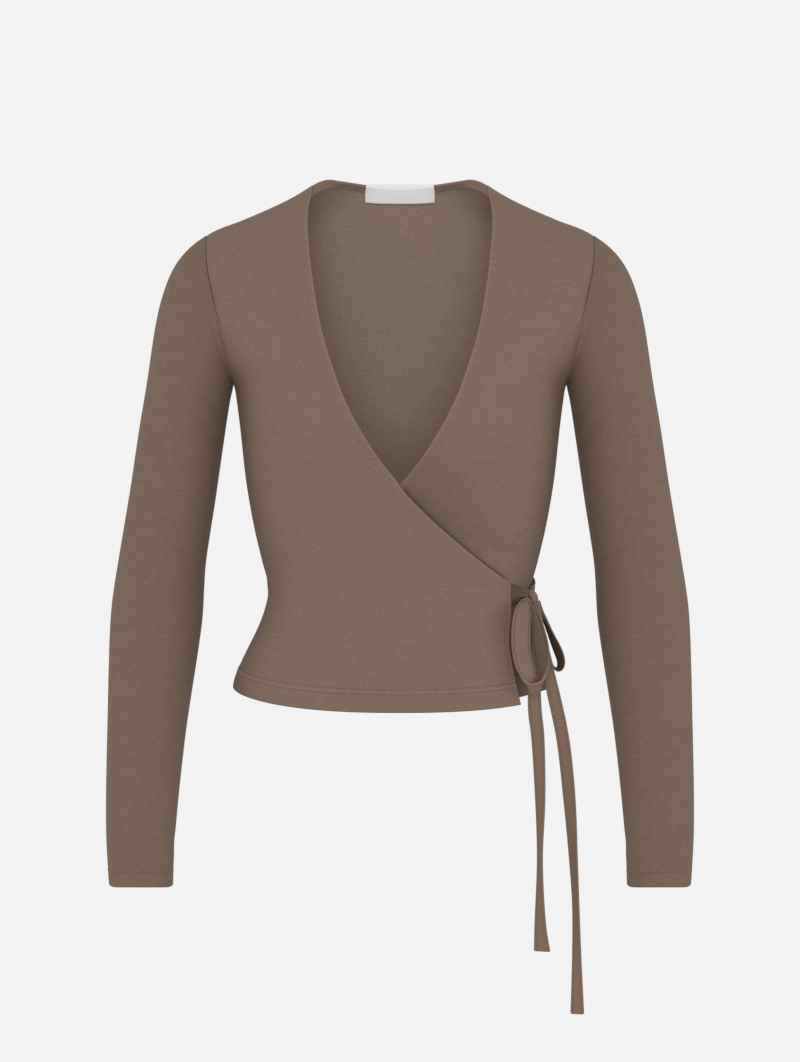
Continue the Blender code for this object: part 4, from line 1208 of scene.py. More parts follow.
STITCH_LENGTH = 0.0026
STITCH_GAP = 0.0007
STITCH_RADIUS = 0.00027
STITCH_TIP = 0.45  # of its radius, at its ends
STITCH_ARCH = (1.3, 0.8)  # how many radii it rises, from how many below the cloth
STITCH_SIDES = 5
STITCH_SHARP = 80
BAR_LENGTH = 0.02  # longer than any bar, so that each is one thread
BAR_RADIUS = 0.00036
BAR_PITCH = 0.0027
BAR_INSET = 0.00035


def stitch_rows(name, lines, length=STITCH_LENGTH, gap=STITCH_GAP, radius=STITCH_RADIUS):
    """Short threads that dive into the cloth, along lines that are each a (points, normals) pair."""
    rings = sides = STITCH_SIDES
    share = np.linspace(0, 1, rings)
    arch = np.sin(np.pi * share)[None, :, None]
    size = radius * (STITCH_TIP + (1 - STITCH_TIP) * arch)
    high, low = STITCH_ARCH
    turn = 2 * np.pi * np.arange(sides) / sides
    one = grid_faces(rings, sides, wrap=True)
    all_points, all_faces, count = [], [], 0
    for points, normals in lines:
        run = arc(points)
        number = max(1, int(run[-1] / (length + gap)))
        pitch = run[-1] / number
        start = np.arange(number) * pitch + gap / 2
        at = (start[:, None] + share * (pitch - gap)).ravel()
        centre = along_line(at, run, points).reshape(number, rings, 3)
        up = unit(along_line(at, run, normals)).reshape(number, rings, 3)
        side = unit(np.cross(unit(np.gradient(centre, axis=1)), up))
        middle = centre + up * (radius * (high * arch - low))
        ring = (
            middle[:, :, None]
            + side[:, :, None] * (np.cos(turn)[:, None] * size[..., None])
            + up[:, :, None] * (np.sin(turn)[:, None] * size[..., None])
        )
        firsts = np.arange(number) * rings * sides + count
        faces = (one[None] + firsts[:, None, None]).reshape(-1, 4)
        all_points.append(ring.reshape(-1, 3))
        all_faces.extend(faces.tolist())
        for first in (0, (rings - 1) * sides):
            all_faces.extend((np.arange(sides) + first + firsts[:, None]).tolist())
        count += number * rings * sides
    return make_mesh(name, np.concatenate(all_points), all_faces, [thread], sharp=STITCH_SHARP)


def inset_line(grid, distances, at, axis, which=slice(None)):
    """The line of a grid's surface at a distance from one of its edges, with its normals."""
    normals = grid_normals(grid)
    if axis == 1:
        grid, distances, normals = grid.swapaxes(0, 1), distances.T, normals.swapaxes(0, 1)
    points, ups = [], []
    for column in range(grid.shape[1]):
        order = np.argsort(distances[:, column])
        found = distances[order, column]
        points.append([np.interp(at, found, grid[order, column, k]) for k in range(3)])
        ups.append([np.interp(at, found, normals[order, column, k]) for k in range(3)])
    return np.array(points)[which], unit(np.array(ups)[which])


def facing_out(line, centre=(0.0, 0.0)):
    """The line with its normals turned away from an upright axis."""
    points, normals = line
    away = points[:, :2] - np.array(centre)
    flip = np.where(np.sum(normals[:, :2] * away, -1) < 0, -1.0, 1.0)
    return points, normals * flip[:, None]


def cross_bars(lines):
    """Short threads from each row of a pair to the other, one for each stitch."""
    bars = []
    for (low, low_up), (high, _) in zip(lines[::2], lines[1::2]):
        run, other = arc(low), arc(high)
        for share in (np.arange(int(run[-1] / BAR_PITCH)) + 0.5) * BAR_PITCH / run[-1]:
            first = along_line(share * run[-1], run, low)
            last = along_line(share * other[-1], other, high)
            up = unit(along_line(share * run[-1], run, low_up))
            inset = unit(last - first) * BAR_INSET
            points = np.stack([first + inset, (first + last) / 2, last - inset])
            bars.append((points, np.broadcast_to(up, points.shape)))
    return bars


HEM_GRID_ROWS = slice(0, 84)  # those within reach of the hem's stitches
CUFF_GRID_ROWS = slice(-70, None)
END_GRID_COLUMNS = slice(-len(EDGE) - 4, None)

hem_lines = []
for panel in (outer_front, under_front, back):
    grid = panel["outer"]
    from_hem = arc(grid)[HEM_GRID_ROWS]
    for at in HEM_ROWS:
        hem_lines.append(facing_out(inset_line(grid[HEM_GRID_ROWS], from_hem, at, 0, slice(1, -1))))
stitch_rows("hem_stitches", hem_lines)
stitch_rows("hem_bars", cross_bars(hem_lines), length=BAR_LENGTH, radius=BAR_RADIUS)

below = outer_front["heights"][:, -1] < END_TOP
grid, near = (outer_front[key][below][:, END_GRID_COLUMNS] for key in ("outer", "near"))
end_lines = [facing_out(inset_line(grid, near, at, 1, slice(4, -1))) for at in END_ROWS]
stitch_rows("end_edge_stitches", end_lines)

cuff_lines = []
for arm in arms.values():
    grid, distances = arm["outer"][CUFF_GRID_ROWS], arm["from_cuff"][CUFF_GRID_ROWS]
    centre = grid[-1, :, :2].mean(0)
    for at in CUFF_ROWS:
        line = facing_out(inset_line(grid, distances, at, 0), centre)
        cuff_lines.append(tuple(np.concatenate([part, part[:1]]) for part in line))
stitch_rows("cuff_stitches", cuff_lines)
stitch_rows("cuff_bars", cross_bars(cuff_lines), length=BAR_LENGTH, radius=BAR_RADIUS)


# -------- neck band and label

BAND_DEPTH = 0.0085
BAND_CLOTH = 0.0010
BAND_CLEAR = 0.00035  # between the back and what is sewn on it
BAND_HALF_WIDTH = 0.0801
BAND_STRAIGHT = (0.046, 0.022)  # how far out the ends begin to hang, and how far that takes
BAND_CORNER = (0.0755, 0.0041)
BAND_TURN = 0.25  # how much deeper the band is where it turns down into the front edges
BAND_ASIDE = 0.17  # how far out its corners lean as they drop, and how far forward its ends do
BAND_FORWARD = 0.05
BAND_FACING = (0.0, -1.0, 0.02)
BAND_ROWS = (0.0046, 0.0070)
BAND_GROOVE = (0.00030, 0.0006)
BAND_SWELL = (0.00018, 0.0024, 0.0016)  # above its stitches: how high, how far down and how wide
# how pale the painted highlight along the band's top edge is, and how far it fades
BAND_HIGHLIGHT = (0.5, 0.0015)
BAND_COLUMNS = 141
BAND_GRID = [0, 0.05, 0.2, 0.45, 0.8, *np.arange(1.2, 7.6, 0.4), 7.75, 8.1, 8.3, 8.45, 8.5]  # millimetres
BAND_STITCHES = {"length": 0.0022, "gap": 0.0006, "radius": 0.00018}
LABEL_WIDTH = 0.0630
LABEL_DEPTH = 0.0190
LABEL_HALF = 0.00040
LABEL_LIFT = 0.0014
LABEL_CLEAR = 0.0005 + 0.0008  # over the band
LABEL_OUT = BAND_CLEAR + BAND_CLOTH + LABEL_CLEAR
LABEL_BOW = 0.0001
LABEL_COLUMNS = 71
LABEL_GRID = [0, 0.004, 0.016, 0.04, *np.linspace(0.07, 0.93, 22), 0.96, 0.984, 0.996, 1]
LEAST_HANG = 0.0012  # how far below the back's edge its surface is looked for
FINE_STEPS = 800
HANG_ROUNDS = 4


def even_points(line, start_x, end_x, count):
    """Points spaced evenly along a line, between two places across it."""
    steps = np.arange(len(line))
    at = np.interp([-start_x, -end_x], -line[:, 0], steps)
    line = along_line(np.linspace(*at, FINE_STEPS), steps, line)
    run = arc(line)
    return along_line(np.linspace(0, run[-1], count), run, line)


def neck_tree():
    """The inside of the upper back, to find the nearest place on it."""
    grid = back["inner"][-70:]
    index = grid_faces(grid.shape[0], grid.shape[1])
    return BVHTree.FromPolygons(grid.reshape(-1, 3).tolist(), index.tolist())


def hung_grid(tree, edge, depths, direction=None):
    """Points on the inside of the back, in rows at depths below a line at its neck edge."""
    tangents = np.gradient(edge, axis=0)
    points = np.zeros((len(depths), len(edge), 3))
    normals = np.zeros_like(points)
    for column, (point, tangent) in enumerate(zip(edge, tangents)):
        facing = np.array([0.0, -1.0, 0.0])
        away = unit(np.cross(facing, tangent)) if direction is None else np.array(direction)
        if away[2] > 0:
            away = -away
        for row, depth in enumerate(depths):
            depth = np.broadcast_to(depth, len(edge))[column]
            found, normal, _, _ = tree.find_nearest(Vector(point + away * max(depth, LEAST_HANG)))
            normal = np.array(normal)
            if normal[1] > 0:
                normal = -normal
            points[row, column] = np.array(found) - away * (max(depth, LEAST_HANG) - depth)
            normals[row, column] = normal
    for _ in range(HANG_ROUNDS):
        normals[:, 1:-1] = unit(normals[:, :-2] + 2 * normals[:, 1:-1] + normals[:, 2:])
    return points, normals


def hang_straight(points, normals, depths, edge):
    """Lets the band's ends hang straight down, where the back turns forward to the shoulder seam."""
    out = np.abs(edge[:, 0])
    share = rise(out, *BAND_STRAIGHT)[None, :, None]
    turned = rise(out, *BAND_CORNER)
    drop = depths[:, None] * (1 + BAND_TURN * turned)
    aside = BAND_ASIDE * turned * np.sign(edge[:, 0]) * drop
    straight = edge[None] + np.stack([aside, -BAND_FORWARD * drop, -drop], -1)
    points = points * (1 - share) + straight * share
    return points, unit(normals * (1 - share) + np.array(BAND_FACING) * share)


def strip_places(points, down, depth, half):
    """How far along a hung strip each point is, and the rounding of the strip's four edges."""
    sides = arc(points, 1)
    from_side = np.minimum(sides, sides[:, -1:] - sides)
    return sides, rounding(down, half) * rounding(depth - down, half) * rounding(from_side, half)


def neck_band(tree):
    """The band along the inside of the back's neck, and its stitches."""
    edge = even_points(back["inner"][-1], BAND_HALF_WIDTH, -BAND_HALF_WIDTH, BAND_COLUMNS)
    depths = np.array(BAND_GRID) * MM
    points, normals = hang_straight(*hung_grid(tree, edge, depths), depths, edge)
    half = np.full(points.shape[:2], BAND_CLOTH / 2)
    down = np.broadcast_to(depths[:, None], half.shape)
    sides, round_ = strip_places(points, down, BAND_DEPTH, half)
    lifted = points + normals * (BAND_CLEAR + BAND_CLOTH)
    swell, at, width = BAND_SWELL
    dip = sum(groove(down, row, *BAND_GROOVE) for row in BAND_ROWS) - swell * bell(down - at, width)
    cloth = np.stack([sides, -down, np.full(down.shape, CLOTH_PLACE["back_neck_band_cloth"])], -1)
    # Painted highlight along the band's top edge.
    edge_highlight = np.exp(-down / BAND_HIGHLIGHT[1]) * BAND_HIGHLIGHT[0]
    shape = (lifted, normals, half, round_, dip, cloth, edge_highlight)
    band, outer, _ = wall("back_neck_band_cloth", *shape, [jersey_band])
    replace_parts(band, "back_neck_band")
    lines = []
    for at in BAND_ROWS:
        row_points, row_normals = inset_line(outer, down, at, 0, slice(2, -2))
        lines.append((row_points, np.where(row_normals[:, 1:2] > 0, -row_normals, row_normals)))
    stitch_rows("neck_band_stitches", lines, **BAND_STITCHES)


def neck_label(tree):
    """The bare woven label, which hangs over the band."""
    edge = even_points(back["inner"][-1], LABEL_WIDTH / 2, -LABEL_WIDTH / 2, LABEL_COLUMNS)
    above = edge[:, 2] - (np.max(edge[:, 2]) + LABEL_LIFT)
    share = np.array(LABEL_GRID)
    depths = [above + LABEL_DEPTH * part for part in share]
    points, normals = hung_grid(tree, edge, depths, (0.0, 0.0, -1.0))
    half = np.full(points.shape[:2], LABEL_HALF)
    down = LABEL_DEPTH * np.broadcast_to(share[:, None], half.shape)
    sides, round_ = strip_places(points, down, LABEL_DEPTH, half)
    bow = np.sin(np.pi * np.clip(sides / sides[:, -1:], 0, 1)) * np.sin(np.pi * down / LABEL_DEPTH)
    lifted = points + normals * (LABEL_OUT + LABEL_BOW * bow)[..., None]
    cloth = np.stack([sides, -down, np.full(down.shape, CLOTH_PLACE["neck_label_tape"])], -1)
    zero = np.zeros(half.shape)
    shape = (lifted, normals, half, round_, zero, cloth, zero)
    label, _, _ = wall("neck_label_tape", *shape, [label_material()])
    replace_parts(label, "neck_label")


inside_back = neck_tree()
neck_band(inside_back)
neck_label(inside_back)


# -------- ties

TIE_OUTER = table(
    ("turn", "top", "bottom", "out"),
    (54.6, -0.3630, -0.3820, -0.0012),
    (58.0, -0.3645, -0.3803, 0.0004),
    (61.0, -0.3667, -0.3786, 0.0030),
    (64.0, -0.3688, -0.3768, 0.0058),
)
TIE_UNDER = table(
    ("turn", "middle", "width", "out"),
    (-55.7, -0.3712, 0.0150, -0.0021),
    (-62.0, -0.3703, 0.0150, -0.0023),
    (-70.0, -0.3690, 0.0150, -0.0023),
    (-78.0, -0.3677, 0.0150, -0.0023),
    (-84.5, -0.3666, 0.0150, -0.0025),
    (-88.6, -0.3660, 0.0150, -0.0026),
    (-93.3, -0.3660, 0.0148, 0.0012),
    (-98.0, -0.3660, 0.0145, 0.0013),
    (-105.0, -0.3660, 0.0145, 0.0016),
    (-180.0, -0.3660, 0.0145, 0.0020),
    (-258.0, -0.3660, 0.0140, 0.0020),
    (-266.0, -0.3660, 0.0130, 0.0020),
    (-274.0, -0.3664, 0.0110, 0.0022),
    (-281.0, -0.3680, 0.0090, 0.0024),
    (-287.0, -0.3705, 0.0065, 0.0026),
)
RIBBON_COLUMNS = ("x", "y", "height", "x_other", "y_other", "height_other")
LOOP_FRONT = table(
    RIBBON_COLUMNS,
    (0.1135, -0.0440, -0.3755, 0.1170, -0.0440, -0.3790),
    (0.1079, -0.0600, -0.3772, 0.1151, -0.0570, -0.3840),
    (0.1013, -0.0730, -0.3845, 0.1152, -0.0670, -0.3925),
    (0.0980, -0.0795, -0.4020, 0.1145, -0.0735, -0.4080),
    (0.0980, -0.0815, -0.4196, 0.1148, -0.0752, -0.4240),
    (0.1008, -0.0825, -0.4350, 0.1184, -0.0752, -0.4390),
    (0.1040, -0.0825, -0.4414, 0.1192, -0.0750, -0.4470),
    (0.1086, -0.0823, -0.4474, 0.1150, -0.0740, -0.4570),
    (0.1160, -0.0810, -0.4510, 0.1176, -0.0725, -0.4622),
    (0.1250, -0.0785, -0.4480, 0.1230, -0.0690, -0.4580),
    (0.1308, -0.0750, -0.4380, 0.1222, -0.0660, -0.4430),
    (0.1320, -0.0715, -0.4230, 0.1184, -0.0650, -0.4290),
    (0.1290, -0.0660, -0.4070, 0.1162, -0.0630, -0.4120),
    (0.1236, -0.0570, -0.3895, 0.1158, -0.0570, -0.3940),
    (0.1200, -0.0470, -0.3805, 0.1166, -0.0480, -0.3830),
)
LOOP_SIDE = table(
    RIBBON_COLUMNS,
    (0.1236, -0.0425, -0.3786, 0.1222, -0.0365, -0.3798),
    (0.1268, -0.0440, -0.3880, 0.1248, -0.0365, -0.3892),
    (0.1303, -0.0460, -0.3958, 0.1273, -0.0360, -0.3965),
    (0.1341, -0.0480, -0.4045, 0.1303, -0.0350, -0.4050),
    (0.1390, -0.0495, -0.4133, 0.1335, -0.0350, -0.4140),
    (0.1435, -0.0500, -0.4217, 0.1369, -0.0355, -0.4237),
    (0.1465, -0.0500, -0.4320, 0.1403, -0.0355, -0.4325),
    (0.1446, -0.0500, -0.4395, 0.1402, -0.0360, -0.4380),
    (0.1400, -0.0495, -0.4412, 0.1376, -0.0350, -0.4388),
    (0.1354, -0.0480, -0.4370, 0.1350, -0.0340, -0.4345),
    (0.1318, -0.0455, -0.4230, 0.1318, -0.0325, -0.4200),
    (0.1276, -0.0425, -0.4040, 0.1276, -0.0305, -0.4030),
    (0.1236, -0.0395, -0.3850, 0.1236, -0.0330, -0.3850),
)
TAIL_SHORT = table(
    RIBBON_COLUMNS,
    (0.1155, -0.0440, -0.3815, 0.1195, -0.0440, -0.3815),
    (0.1137, -0.0610, -0.4140, 0.1226, -0.0600, -0.4140),
    (0.1129, -0.0665, -0.4484, 0.1240, -0.0650, -0.4484),
    (0.1130, -0.0670, -0.4760, 0.1253, -0.0660, -0.4760),
    (0.1160, -0.0670, -0.5013, 0.1276, -0.0700, -0.5013),
    (0.1194, -0.0650, -0.5543, 0.1281, -0.0730, -0.5543),
    (0.1216, -0.0610, -0.6072, 0.1254, -0.0740, -0.6072),
    (0.1190, -0.0640, -0.6602, 0.1284, -0.0730, -0.6602),
    (0.1181, -0.0680, -0.6876, 0.1328, -0.0680, -0.6884),
)
TAIL_LONG = table(
    RIBBON_COLUMNS,
    (0.1208, -0.0440, -0.3812, 0.1236, -0.0435, -0.3790),
    (0.1222, -0.0475, -0.3957, 0.1268, -0.0455, -0.3957),
    (0.1248, -0.0525, -0.4222, 0.1319, -0.0500, -0.4222),
    (0.1296, -0.0580, -0.4584, 0.1408, -0.0560, -0.4570),
    (0.1384, -0.0600, -0.5017, 0.1500, -0.0620, -0.5017),
    (0.1446, -0.0580, -0.5547, 0.1552, -0.0650, -0.5547),
    (0.1500, -0.0540, -0.6078, 0.1569, -0.0660, -0.6078),
    (0.1529, -0.0530, -0.6475, 0.1581, -0.0660, -0.6475),
    (0.1526, -0.0560, -0.6874, 0.1599, -0.0650, -0.6874),
    (0.1507, -0.0600, -0.7440, 0.1630, -0.0600, -0.7445),
)
TIE_HALF = 0.00062
FRONT_LOOP_HALF = 0.00115
SIDE_LOOP_CUP = (0.0010, 0.19, 0.09)  # how deep, and where along the loop and over how much of it
NO_CUP = (0.0, 0.0, 1.0)
PLEAT_DEPTH = 0.0011
PLEAT_REACH = 0.011
PLEAT_WAVES = (2.6, 0.10)
TIE_EDGE = (0.50, 0.0012, 0.0007)  # how much the rolled edge adds, how far in and how wide
TIE_STITCHES = (0.60, 0.0021, 0.00045)  # how much the line of stitches inside it takes away
TIE_LINE_SHADE = (0.30, 0.0004)
# the painted highlight along a tie's rolled edges fades over this far
TIE_HIGHLIGHT = 0.0012
TIE_MERGE = 1e-6
TIE_SHARP = 75
TAIL_CORNERS = {"tie_tail_short": 0.0014, "tie_tail_long": 0.0019}
OUTER_STEPS = 26
OUTER_LEAN = 0.0026  # how much further out its top edge is than its lower one
OUTER_LEAN_FROM = (56.5, 4)  # degrees round
OUTER_PLEATS = 0.0008
OUTER_PLEATS_FROM = (57.0, 5)
OUTER_CUP = -0.0012
UNDER_CUP = 0.0005
BEHIND_FROM = (100, 20)  # degrees round, where the tie lies across the back
BEHIND_TO = (282, 20)
TIE_WAVE = (0.0007, 3.1)  # how high it wanders, and how often
TIE_NARROWS = (0.10, 4.7, 40)  # how much it narrows, how often and from where
RIBBON_POINTS = 41
RIBBON_STEP = 0.0016
RIBBON_ROUNDS = 10
UNDER_ROUNDS = 6
EDGE_ROUND = 0.8  # of the tie's thickness
CORNER_POINTS = 9
CORNER_GAP = 0.0002
INWARD = (-0.35, 0.7)
FRONT_LOOP_CENTRE = (0.116, -0.074, -0.418)
FRONT_LOOP_SHADE = (0.42, 0.50, 0.25)  # how dark, and the shares of its run where that starts and fades in
SIDE_LOOP_CENTRE = (0.132, -0.043, -0.424)
SIDE_LOOP_SHADE = (0.72, 0.07, 0.05)
SIDE_LOOP_SLANT = 0.15
CORNER_SHADE = (0.66, 0.26, 0.35, 0.6)  # how dark at the seam, and how much less towards the knot


def there_and_back(front, rear):
    """Values round a flat tube: across its front, then back across its rear."""
    return np.concatenate([front, rear[:, -2:0:-1]], axis=1)


def tube_faces(rows, sides):
    """The faces of a closed tube, with a flat end at each."""
    ends = [list(range(sides)), list(range((rows - 1) * sides, rows * sides))]
    return grid_faces(rows, sides, wrap=True).tolist() + ends


def ribbon(name, edge, other, cup=0.0, half=TIE_HALF, pinch=(False, False), pleats=0.0, shades=None):
    """A flat tube of cloth between two edge curves. cup bows it across, pleats gathers it into folds, pinch
    closes its ends, and its edges are rolled, with a stitched line inside each."""
    rows = len(edge)
    share = (1 - np.cos(np.linspace(0, np.pi, RIBBON_POINTS))) / 2
    flat = edge[:, None] * (1 - share[None, :, None]) + other[:, None] * share[None, :, None]
    middle_line = (edge + other) / 2
    normals = unit(np.cross(unit(np.gradient(middle_line, axis=0)), unit(other - edge)))
    cup, pleats = (np.broadcast_to(size, rows)[:, None] for size in (cup, pleats))
    count, start = PLEAT_WAVES
    waves = np.sin(2 * np.pi * (count * share + start)) * np.sqrt(share * (1 - share)) * 2
    bow = cup * (4 * share * (1 - share))[None] + pleats * waves[None]
    flat = flat + normals[:, None] * bow[..., None]
    width = np.linalg.norm(other - edge, axis=-1)[:, None]
    from_edge = np.minimum(share, 1 - share)[None] * width
    rim = 1 + TIE_EDGE[0] * bell(from_edge - TIE_EDGE[1], TIE_EDGE[2])
    rim = rim - TIE_STITCHES[0] * bell(from_edge - TIE_STITCHES[1], TIE_STITCHES[2])
    thick = half * rim * rounding(from_edge, EDGE_ROUND * half)
    run = arc(middle_line)
    for is_pinched, distance in zip(pinch, (run, run[-1] - run)):
        if is_pinched:
            thick = thick * rounding(distance, half)[:, None]
    normals = grid_normals(flat)
    loop = there_and_back(flat + normals * thick[..., None], flat - normals * thick[..., None])
    reach = there_and_back(share[None], share[None]) * width
    down = np.broadcast_to(run[:, None], reach.shape)
    cloth = np.stack([reach, down, np.full(reach.shape, len(name))], -1)
    near = there_and_back(from_edge, from_edge)
    shade = lines_shade(near, TIE_LINE_SHADE, TIE_STITCHES[1:2])
    if shades is not None:
        facing = there_and_back(normals, -normals)
        shade = np.clip(shade + shades(loop, facing, run[:, None] / run[-1]), 0, 1)
    # Painted highlight along the rolled edges.
    edge_highlight = np.exp(-near / TIE_HIGHLIGHT)
    attributes = {"cloth": cloth.reshape(-1, 3), "edge_highlight": edge_highlight.ravel(), "shade": shade.ravel()}
    faces = tube_faces(rows, loop.shape[1])
    return make_mesh(name, loop.reshape(-1, 3), faces, [jersey_tie], None, attributes, TIE_MERGE, TIE_SHARP)


def ribbon_edges(source):
    """Both edges of a ribbon, as smooth curves through the rows of its table."""
    places = np.arange(len(source["x"]), dtype=float)
    length = arc(np.stack([source["x"], source["y"], source["height"]], -1))[-1]
    at = np.linspace(0, places[-1], int(length / RIBBON_STEP))
    curves = {name: smooth(places, values, at) for name, values in source.items()}
    edge = np.stack([curves["x"], curves["y"], curves["height"]], axis=-1)
    other = np.stack([curves["x_other"], curves["y_other"], curves["height_other"]], axis=-1)
    for line in (edge, other):
        even_out(line, RIBBON_ROUNDS)
    return edge, other


def rounded_end(edge, other, radius):
    """Rounds both corners at the far end of a ribbon."""
    run = arc((edge + other) / 2)
    turn = np.linspace(0, np.pi / 2, CORNER_POINTS)
    last = run[-1] - radius * (1 - np.sin(turn))
    kept = run[run < last[0] - CORNER_GAP]
    places = np.concatenate([kept, last])
    edge, other = (along_line(places, run, line) for line in (edge, other))
    inset = np.concatenate([np.zeros(len(kept)), radius * (1 - np.cos(turn))])[:, None]
    side = unit(other - edge)
    return edge + side * inset, other - side * inset


def inward(points, facing, centre):
    """1 where a loop's face looks at its centre, 0 where it looks away."""
    return rise(np.sum(facing * unit(np.array(centre) - points), -1), *INWARD)


def front_loop_shade(points, facing, share):
    """The large loop's inner face is dark on the side where it comes back to the knot."""
    depth, start, fade = FRONT_LOOP_SHADE
    return depth * inward(points, facing, FRONT_LOOP_CENTRE) * ease((share - start) / fade)


def side_loop_shade(points, facing, share):
    """The small loop's inner face is dark, from a line that slants across its first part."""
    depth, start, fade = SIDE_LOOP_SHADE
    x = points[..., 0]
    slant = SIDE_LOOP_SLANT * (x - x.min(1, keepdims=True)) / np.maximum(np.ptp(x, 1)[:, None], 1e-5)
    return depth * inward(points, facing, SIDE_LOOP_CENTRE) * ease((share - start - slant) / fade)


def corner_shade(points, _, share):
    """The gathered tie lies deep in the corner beside the outer front's edge."""
    depth, less, start, fade = CORNER_SHADE
    return np.broadcast_to(depth - less * ease((share - start) / fade), points.shape[:2])


def tie_outer():
    """The outer front's tie, gathered from the front's corner to the knot."""
    at = np.linspace(TIE_OUTER["turn"][0], TIE_OUTER["turn"][-1], OUTER_STEPS)
    sizes = {name: smooth(TIE_OUTER["turn"], values, at) for name, values in TIE_OUTER.items()}
    out = sizes["out"] - CLOTH / 2
    lean = OUTER_LEAN * rise(at, *OUTER_LEAN_FROM)
    top = cloth_point(np.radians(at), sizes["top"], out + lean)
    bottom = cloth_point(np.radians(at), sizes["bottom"], out)
    gather = OUTER_PLEATS * rise(at, *OUTER_PLEATS_FROM)
    return ribbon("tie_outer_cloth", top, bottom, cup=OUTER_CUP, pleats=gather, shades=corner_shade)


def tie_under():
    """The under front's tie: out of the right side seam, round the back and on to the knot."""
    at = np.arange(-TIE_UNDER["turn"][0], -TIE_UNDER["turn"][-1], 1.0)
    columns = ("middle", "width", "out")
    middle, width, out = (np.interp(at, -TIE_UNDER["turn"], TIE_UNDER[name]) for name in columns)
    for values in (middle, width, out):
        even_out(values, UNDER_ROUNDS)
    behind = rise(at, *BEHIND_FROM) * fall(at, *BEHIND_TO)
    height, pace = TIE_WAVE
    middle = middle + height * np.sin(np.radians(at * pace)) * behind
    less, pace, start = TIE_NARROWS
    width = width * (1 - less * behind * (1 + np.sin(np.radians(at * pace + start))) / 2)
    turns = np.radians(-at)
    top, bottom = (cloth_point(turns, middle + side * width / 2, out - CLOTH / 2) for side in (1, -1))
    return ribbon("tie_under_cloth", top, bottom, cup=UNDER_CUP * behind)


def bow_loop(name, source, half, cup, shades):
    """A loop of the bow, gathered at both ends."""
    edge, other = ribbon_edges(source)
    run = arc((edge + other) / 2)
    ends = np.exp(-run / PLEAT_REACH) + np.exp(-(run[-1] - run) / PLEAT_REACH)
    depth, at, width = cup
    cup = depth * bell(run / run[-1] - at, width)
    return ribbon(name + "_cloth", edge, other, cup, half, pleats=PLEAT_DEPTH * ends, shades=shades)


def tie_tail(name, source):
    """A free end, gathered at the knot."""
    edge, other = rounded_end(*ribbon_edges(source), TAIL_CORNERS[name])
    pleats = PLEAT_DEPTH * np.exp(-arc((edge + other) / 2) / PLEAT_REACH)
    return ribbon(name + "_cloth", edge, other, pinch=(False, True), pleats=pleats)


KNOT_CENTRE = (0.1174, -0.0398, -0.3752)
KNOT_RADII = (0.0043, 0.0050, 0.0064)
KNOT_LEAN = 30.0
KNOT_WRAP = table(  # the strand that wraps the knot: its middle line, and half its width and thickness
    ("x", "y", "z", "width", "thick"),
    (0.1104, -0.0375, -0.3716, 0.0018, 0.0009),
    (0.1128, -0.0432, -0.3708, 0.0023, 0.0011),
    (0.1152, -0.0462, -0.3709, 0.0027, 0.0013),
    (0.1175, -0.0478, -0.3722, 0.0029, 0.0014),
    (0.1192, -0.0484, -0.3746, 0.0030, 0.0014),
    (0.1200, -0.0478, -0.3778, 0.0029, 0.0014),
    (0.1200, -0.0455, -0.3808, 0.0026, 0.0012),
    (0.1190, -0.0415, -0.3826, 0.0021, 0.0010),
)
KNOT_SIDES = 48
KNOT_ROWS = 44
WRAP_CREASE = (0.16, 3, 0.5)  # how high the strand's creases are, how many and where
CORE_RIDGE = (0.07, 6, 0.8)
KNOT_ROUNDS = 6
WRAP_FLATNESS = 0.8
WRAP_GIRTH = 0.014
CORE_GIRTH = 0.03
POLE = 0.03  # radians from the core's poles to its flat ends


def tube(name, rings, girth):
    """A closed tube through rings of points, with a flat end at each."""
    rows, sides = rings.shape[:2]
    reach = np.broadcast_to(np.arange(sides) / sides * girth, (rows, sides))
    cloth = np.stack([reach, arc(rings), np.full(reach.shape, float(len(name)))], -1)
    attributes = {"cloth": cloth.reshape(-1, 3), "edge_highlight": np.zeros(rows * sides)}
    return make_mesh(name, rings.reshape(-1, 3), tube_faces(rows, sides), [jersey_tie], None, attributes)


